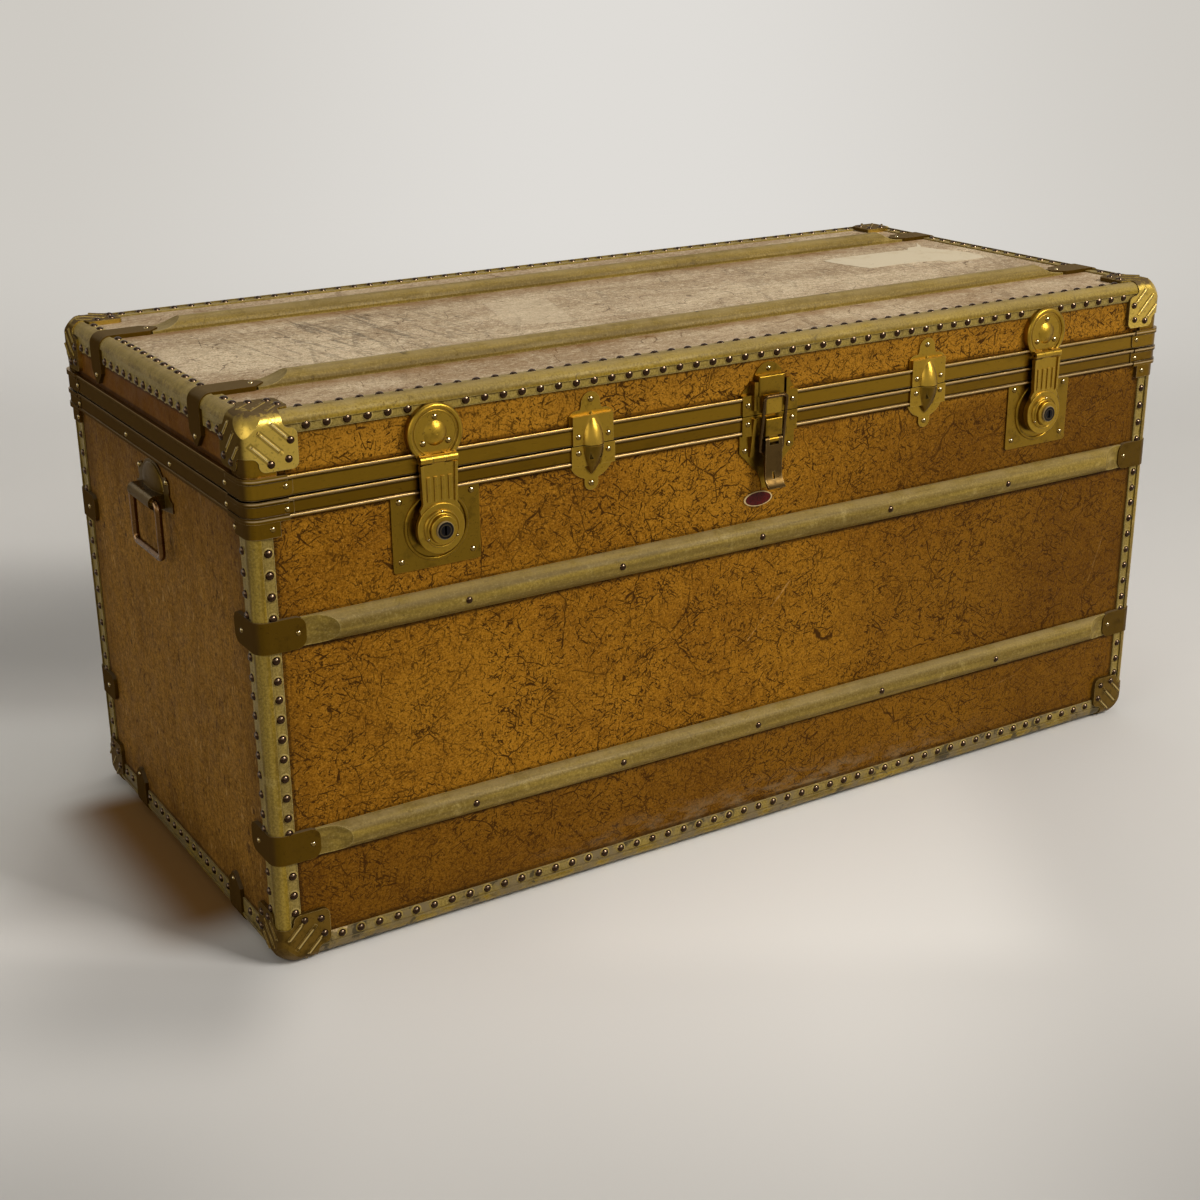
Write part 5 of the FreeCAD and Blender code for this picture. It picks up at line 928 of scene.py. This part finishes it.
class TRUNK_OT_binding_nails(bpy.types.Operator):
    """Drives the rows of nails through the bindings, each in a thin ring of cracked paint"""
    bl_idname = "trunk.binding_nails"
    bl_label = "Binding nails"

    def execute(self, context):
        sizes = context.scene.trunk_sizes
        pitch, radius, rise = sizes.nail_pitch, sizes.nail_radius, sizes.nail_rise
        corner, foot_corner, flange = 0.0545, 0.057, 0.0148
        lid_front_drop, lid_end_drop, foot_front_rise, foot_end_rise = 0.0128, 0.0208, 0.016, 0.0202
        front_leg, end_leg = 0.0154, 0.0205
        long_row = spread_row(EDGE_X - corner, pitch)
        front_row = spread_row(EDGE_X - corner, pitch, LOCK_X, LOCK_HALF)
        end_row = spread_row(EDGE_Y - corner, pitch, STRAP_Y, STRAP_HALF)
        foot_row = spread_row(EDGE_X - foot_corner, pitch)
        column = [51, 68, 86.5, 127, 141.5, 160, 178, 196, 214, 232, 249.5, 266, 284, 320.5, 339, 357.5, 376]

        def flat_rows(node, out, row):
            spots = [(x, y * (EDGE_Y - flange), 0) for x in row for y in (-1, 1)]
            return settle(node, out, spots) + settle(
                node, out, [(x * (EDGE_X - flange), y, 0) for x in (-1, 1) for y in end_row])

        node = "lid_top_bindings"
        lid = settle(node, FRONT, [(x, 0, TOP - lid_front_drop) for x in front_row])
        lid += settle(node, BACK, [(x, 0, TOP - lid_front_drop) for x in long_row])
        lid += flat_rows(node, UP, long_row)
        lid += mirrored(node, LEFT, [(0, y, TOP - lid_end_drop) for y in end_row], deep=False)
        node = "body_bottom_bindings"
        body = mirrored(node, FRONT, [(x, 0, FOOT + foot_front_rise) for x in foot_row], across=False)
        under = flat_rows(node, DOWN, foot_row)
        body += mirrored(node, LEFT, [(0, y, FOOT + foot_end_rise) for y in end_row], deep=False)
        node = "body_upright_bindings"
        body += mirrored(node, FRONT, [(front_leg - EDGE_X, 0, z * MM) for z in column])
        body += mirrored(node, LEFT, [(0, end_leg - EDGE_Y, z * MM) for z in column])
        seat = lathe([(radius * 1.34, -0.0003), (radius * 1.34, 0.00005), (radius * 1.05, 0.00035),
                      (radius * 0.8, 0.0003)], 14)
        for owner, spots, seed in (("lid", lid, 3), ("body", body, 4)):
            scatter(f"{owner}_binding_nails", head(radius, rise), spots, seed)
            scatter(f"{owner}_nail_seats", seat, spots, seed, 0.0, "nail_seat")
        scatter("body_underside_nails", head(radius, rise * 0.55), under, 14, 0.0)
        return {"FINISHED"}


class TRUNK_OT_slat_nails(bpy.types.Operator):
    """Drives the nails along the slats and through the straps and clamps over their ends"""
    bl_idname = "trunk.slat_nails"
    bl_label = "Slat and strap nails"

    def execute(self, context):
        sizes = context.scene.trunk_sizes
        radius, rise = sizes.nail_radius * 0.85, sizes.nail_rise
        row = [(x, 0, z) for x in SLAT_NAILS for z in SLAT_LEVELS]
        front, back = settle("body_front_slats", FRONT, row), settle("body_back_slats", BACK, row)
        scatter("body_slat_nails", head(radius, rise * 0.7), front, 6)
        scatter("body_back_slat_nails", head(radius, rise * 0.45), back, 15, 0.0)
        small = head(sizes.rivet_radius * 0.9, sizes.rivet_rise * 0.8)
        for owner, seed, places in (
                ("lid", 7, (("slat_straps", LEFT, (0, -STRAP_Y, 0.452)),
                            ("slat_straps", UP, (-0.457, -STRAP_Y, 0)),
                            ("band_clamps", FRONT, (-0.474, 0, 0.430)),
                            ("band_clamps", LEFT, (0, -0.194, 0.429)))),
                ("body", 8, (("slat_straps", FRONT, *((-0.4715, 0, z) for z in SLAT_LEVELS)),
                             ("slat_straps", LEFT, *((0, -0.202, z) for z in SLAT_LEVELS)),
                             ("bottom_straps", LEFT, (0, -0.128, 0.042)),
                             ("band_clamps", FRONT, (-0.474, 0, 0.411), (-0.487, 0, 0.396)),
                             ("band_clamps", LEFT, (0, -0.194, 0.411), (0, -0.206, 0.395)),
                             ("band", LEFT, (0, -0.058, 0.411))))):
            spots = [spot for kind, out, *where in places for spot in mirrored(f"{owner}_{kind}", out, where)]
            scatter(f"{owner}_strap_nails", small, spots, seed, material="rivet_head")
        return {"FINISHED"}


class TRUNK_OT_rivets(bpy.types.Operator):
    """Rivets the locks, dowels, latch, caps, handles and hinges"""
    bl_idname = "trunk.rivets"
    bl_label = "Rivets"

    def execute(self, context):
        sizes = context.scene.trunk_sizes
        spots, caps, under = {"lid": [], "body": []}, {"lid": [], "body": []}, []
        for side, out in (("left_", LEFT), ("right_", RIGHT)):
            for owner, kind, offsets in (
                    ("body", "lock_plate", [(dx, z) for dx in (-33.5, 33.5) for z in (398.6, 346.5)]),
                    ("lid", "strike_disc", [(0, 467.5), (-11.6, 446), (11.6, 446)]),
                    ("lid", "dowel_tongue", [(0, 460), (-15, 429), (15, 429)]),
                    ("body", "dowel_socket", [(0, 385), (-15, 414.5), (15, 414.5)])):
                x = middle_and_half(side + kind)[0].x
                spots[owner] += settle(side + kind, FRONT, [(x + dx * MM, 0, z * MM) for dx, z in offsets])
            spots["body"] += settle(side + "handle_plate", out,
                                    [(0, -0.0355, 0.388), (0, 0.0355, 0.388), (0, 0, 0.3555)])
        spots["lid"] += settle("latch_catch_plate", FRONT,
                               [(0, 0, 0.462), (-0.025, 0, 0.431), (0.025, 0, 0.431)])
        spots["body"] += settle("latch_base_plate", FRONT,
                                [(x, 0, z) for x in (-0.025, 0.025) for z in (0.4135, 0.3875)])
        for owner, level, sign, out, flat in (("lid", TOP, -1, UP, caps["lid"]),
                                              ("body", FOOT, 1, DOWN, under)):
            node = f"{owner}_corner_caps"
            for a, b in ((0.0225, 0.040), (0.0375, 0.0375), (0.040, 0.0225)):
                caps[owner] += mirrored(node, FRONT, [(a - EDGE_X, 0, level + sign * b)])
                caps[owner] += mirrored(node, LEFT, [(0, a - EDGE_Y, level + sign * b)])
                flat += mirrored(node, out, [(a - EDGE_X, b - EDGE_Y, 0)])
        radius, rise = sizes.nail_radius * 0.9, sizes.nail_rise
        scatter("body_cap_underside_nails", head(radius, rise * 0.5), under, 16, 0.0)
        for owner, seed, rows in (("lid", 9, (0.448, 0.458)), ("body", 10, (0.384, 0.394))):
            hinges = settle(f"hinge_{owner}_leaves", BACK, [(x + dx, 0, z) for x in HINGES_X
                                                            for dx in (-0.013, 0.013) for z in rows])
            scatter(f"{owner}_rivets", head(sizes.rivet_radius, sizes.rivet_rise), spots[owner], seed,
                    material="rivet_head")
            scatter(f"{owner}_cap_nails", head(radius, rise * 0.85), caps[owner], seed + 2)
            scatter(f"{owner}_hinge_rivets", head(sizes.rivet_radius, sizes.rivet_rise * 0.5), hinges,
                    seed + 4, material="rivet_head")
        return {"FINISHED"}


class TRUNK_OT_stamped_rings(bpy.types.Operator):
    """Raises the thin stamped rings on the strike discs and hasps, with the three small balls"""
    bl_idname = "trunk.stamped_rings"
    bl_label = "Stamped rings"

    def execute(self, context):
        sizes = context.scene.trunk_sizes
        wire, reach, disc_level = sizes.ring_wire, sizes.head_ring, 0.4535
        for side in ("left_", "right_"):
            arm = side + "hasp_arm"
            disc, centre = (middle_and_half(side + node)[0] for node in ("strike_disc", "key_plug"))
            for name, node, x, z, radius, body in (
                    ("disc_ring", "strike_disc", disc.x, disc_level, sizes.disc_ring, "lid"),
                    ("head_ring", "hasp", centre.x, centre.z, reach, arm)):
                self.ring(side + name, side + node, x, z, radius, wire, body)
            balls = settle(side + "hasp", FRONT, [
                (centre.x + reach * math.cos(turn), 0, centre.z + reach * math.sin(turn))
                for turn in map(math.radians, (90, 210, 330))])
            scatter(side + "head_balls", head(wire * 1.9, wire * 2.2), balls, 13, material="rivet_head",
                    body=arm)
        return {"FINISHED"}

    def ring(self, name, node, across, level, radius, wire, body, sides=72, around=8):
        """A half-round bead that follows a circle on the front of a node."""
        aslant = radius * 0.7071
        depth = settle(node, FRONT, [(across + aslant, 0, level + aslant)])[0][0].y
        points, faces = [], []
        for side in range(sides):
            turn, after = math.tau * side / sides, (side + 1) % sides
            for step in range(around):
                roll, ahead = math.tau * step / around, (step + 1) % around
                reach = radius + wire * math.cos(roll)
                points.append((across + reach * math.cos(turn), depth - wire * 0.9 * math.sin(roll),
                               level + reach * math.sin(turn)))
                faces.append((side * around + step, side * around + ahead, after * around + ahead,
                              after * around + step))
        finish_piece(name, points, faces, body, "polished_brass")


class TRUNK_OT_remnant(bpy.types.Operator):
    """Lays the torn blank paper on the lid"""
    bl_idname = "trunk.remnant"
    bl_label = "Torn paper"

    def execute(self, context):
        outline = [(298, 68.5), (300, 48.5), (306, 22), (310.5, 2.6), (353.6, 3.5), (385, 1), (405, -4),
                   (406, -14), (418, -19), (440, -19), (459.6, -17.1), (468.7, 3.9), (464.2, 25.5),
                   (455, 50), (448.5, 74.2), (457, 92), (461, 98.5), (445, 80), (431.2, 79.3), (421.1, 68.6),
                   (394, 71.8), (364, 71.1), (325, 72.5)]
        tear_pitch, tear_reach, lift, thickness = 2.5, 0.8, 0.00035, 0.0003
        chance = random.Random(11)
        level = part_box("lid_cover_sheets")[1].z + lift
        edge = []
        for (x, y), (next_x, next_y) in zip(outline, outline[1:] + outline[:1]):
            steps = max(2, int(math.hypot(next_x - x, next_y - y) / tear_pitch))
            for step in range(steps):
                part, tear = step / steps, tear_reach if step else 0
                edge.append(((x + (next_x - x) * part + chance.uniform(-tear, tear)) * MM,
                             (y + (next_y - y) * part + chance.uniform(-tear, tear)) * MM))
        count = len(edge)
        points = [(x, y, high) for high in (level, level - thickness) for x, y in edge]
        faces = [tuple(range(count)), tuple(reversed(range(count, 2 * count)))]
        faces += [(i + count, (i + 1) % count + count, (i + 1) % count, i) for i in range(count)]
        finish_piece("torn_paper_remnant", points, faces, "lid", "torn_paper", smooth=False)
        return {"FINISHED"}


class TRUNK_OT_studio(bpy.types.Operator):
    """Sets the trunk on a pale floor under soft light, with the camera at its standing place"""
    bl_idname = "trunk.studio"
    bl_label = "Studio"

    def execute(self, context):
        ahead = AHEAD * math.cos(VIEW_TILT) + Vector(UP) * math.sin(VIEW_TILT)
        down = ahead.cross(ASIDE)
        right = ASIDE * math.cos(VIEW_ROLL) - down * math.sin(VIEW_ROLL)
        below = ASIDE * math.sin(VIEW_ROLL) + down * math.cos(VIEW_ROLL)
        camera = bpy.data.cameras.new("standing_view")
        camera.lens, camera.sensor_width = 55.24, 36
        camera.clip_start, camera.clip_end = 0.05, 60
        stand = bpy.data.objects.new("standing_view", camera)
        stand.matrix_world = Matrix.Translation((-0.9940, -1.5476, 0.8485)) @ Matrix(
            (right, -below, -ahead)).transposed().to_4x4()
        context.scene.collection.objects.link(stand)
        context.scene.camera = stand
        self.sweep()
        self.lamps(context)
        return {"FINISHED"}

    def sweep(self):
        """A floor that curves up into a wall on all four sides."""
        bend, height, far, near, wide = 1.6, 6.0, 1.6, 6.0, 7.0
        angles = [math.radians(step) for step in range(6, 91, 6)]
        rise = [(0.0, 0.0)] + [(bend * math.sin(angle), bend - bend * math.cos(angle)) for angle in angles]
        rise.append((bend, height))
        points = [AHEAD * ahead + ASIDE * across + Vector((0, 0, high)) for out, high in rise
                  for ahead, across in ((far + out, wide + out), (far + out, -wide - out),
                                        (-near - out, -wide - out), (-near - out, wide + out))]
        faces = [(0, 1, 2, 3)] + [(4 * i + k, 4 * i + 4 + k, 4 * i + 4 + (k + 1) % 4, 4 * i + (k + 1) % 4)
                                  for i in range(len(rise) - 1) for k in range(4)]
        new_object("studio_sweep", points, faces, "studio_floor")

    def lamps(self, context):
        for name, spot, aim, size, power, tint in (
                ("key_window", (1.70, -2.95, 2.70), (-0.1, 0.0, 0.25), 1.5, 138.0, (1.0, 0.965, 0.92)),
                ("left_fill", (-2.8, -0.9, 1.5), (0.0, 0.0, 0.25), 1.8, 15.0, (1.0, 0.95, 0.86)),
                ("top_fill", (0.3, 0.5, 3.2), (0.0, 0.0, 0.3), 2.2, 17.0, (1.0, 0.98, 0.95))):
            lamp = bpy.data.lights.new(name, "AREA")
            lamp.shape, lamp.size, lamp.energy, lamp.color = "SQUARE", size, power, tint
            stand = bpy.data.objects.new(name, lamp)
            stand.location = spot
            stand.rotation_euler = (Vector(aim) - Vector(spot)).to_track_quat("-Z", "Y").to_euler()
            context.scene.collection.objects.link(stand)
        world = bpy.data.worlds.new("studio_air")
        context.scene.world = world
        world.use_nodes = True
        air = world.node_tree.nodes["Background"].inputs
        air["Color"].default_value, air["Strength"].default_value = (1.0, 0.98, 0.95, 1.0), 0.2


STEPS = (TRUNK_OT_finishes, TRUNK_OT_cases, TRUNK_OT_trim, TRUNK_OT_hardware, TRUNK_OT_binding_nails,
         TRUNK_OT_slat_nails, TRUNK_OT_rivets, TRUNK_OT_stamped_rings, TRUNK_OT_remnant, TRUNK_OT_studio)


class TRUNK_PT_panel(bpy.types.Panel):
    """Lists the trunk's steps and choices in the sidebar"""
    bl_idname = "TRUNK_PT_panel"
    bl_label = "Travel Trunk"
    bl_space_type = "VIEW_3D"
    bl_region_type = "UI"
    bl_category = "Trunk"

    def draw(self, context):
        for step in STEPS:
            self.layout.operator(step.bl_idname, text=step.bl_label)
        for group in (context.scene.trunk_sizes, context.scene.trunk_colours):
            column = self.layout.column()
            for choice in group.bl_rna.properties.keys()[2:]:
                column.prop(group, choice)


CLASSES = (TrunkColours, TrunkSizes, *STEPS, TRUNK_PT_panel)


def register():
    for kind in CLASSES:
        bpy.utils.register_class(kind)
    bpy.types.Scene.trunk_colours = bpy.props.PointerProperty(type=TrunkColours)
    bpy.types.Scene.trunk_sizes = bpy.props.PointerProperty(type=TrunkSizes)


def unregister():
    del bpy.types.Scene.trunk_sizes
    del bpy.types.Scene.trunk_colours
    for kind in reversed(CLASSES):
        bpy.utils.unregister_class(kind)


def main():
    register()
    scene = bpy.context.scene
    scene.view_settings.view_transform = "Standard"
    for step in STEPS:
        group, name = step.bl_idname.split(".")
        getattr(getattr(bpy.ops, group), name)()


if __name__ == "__main__":
    main()
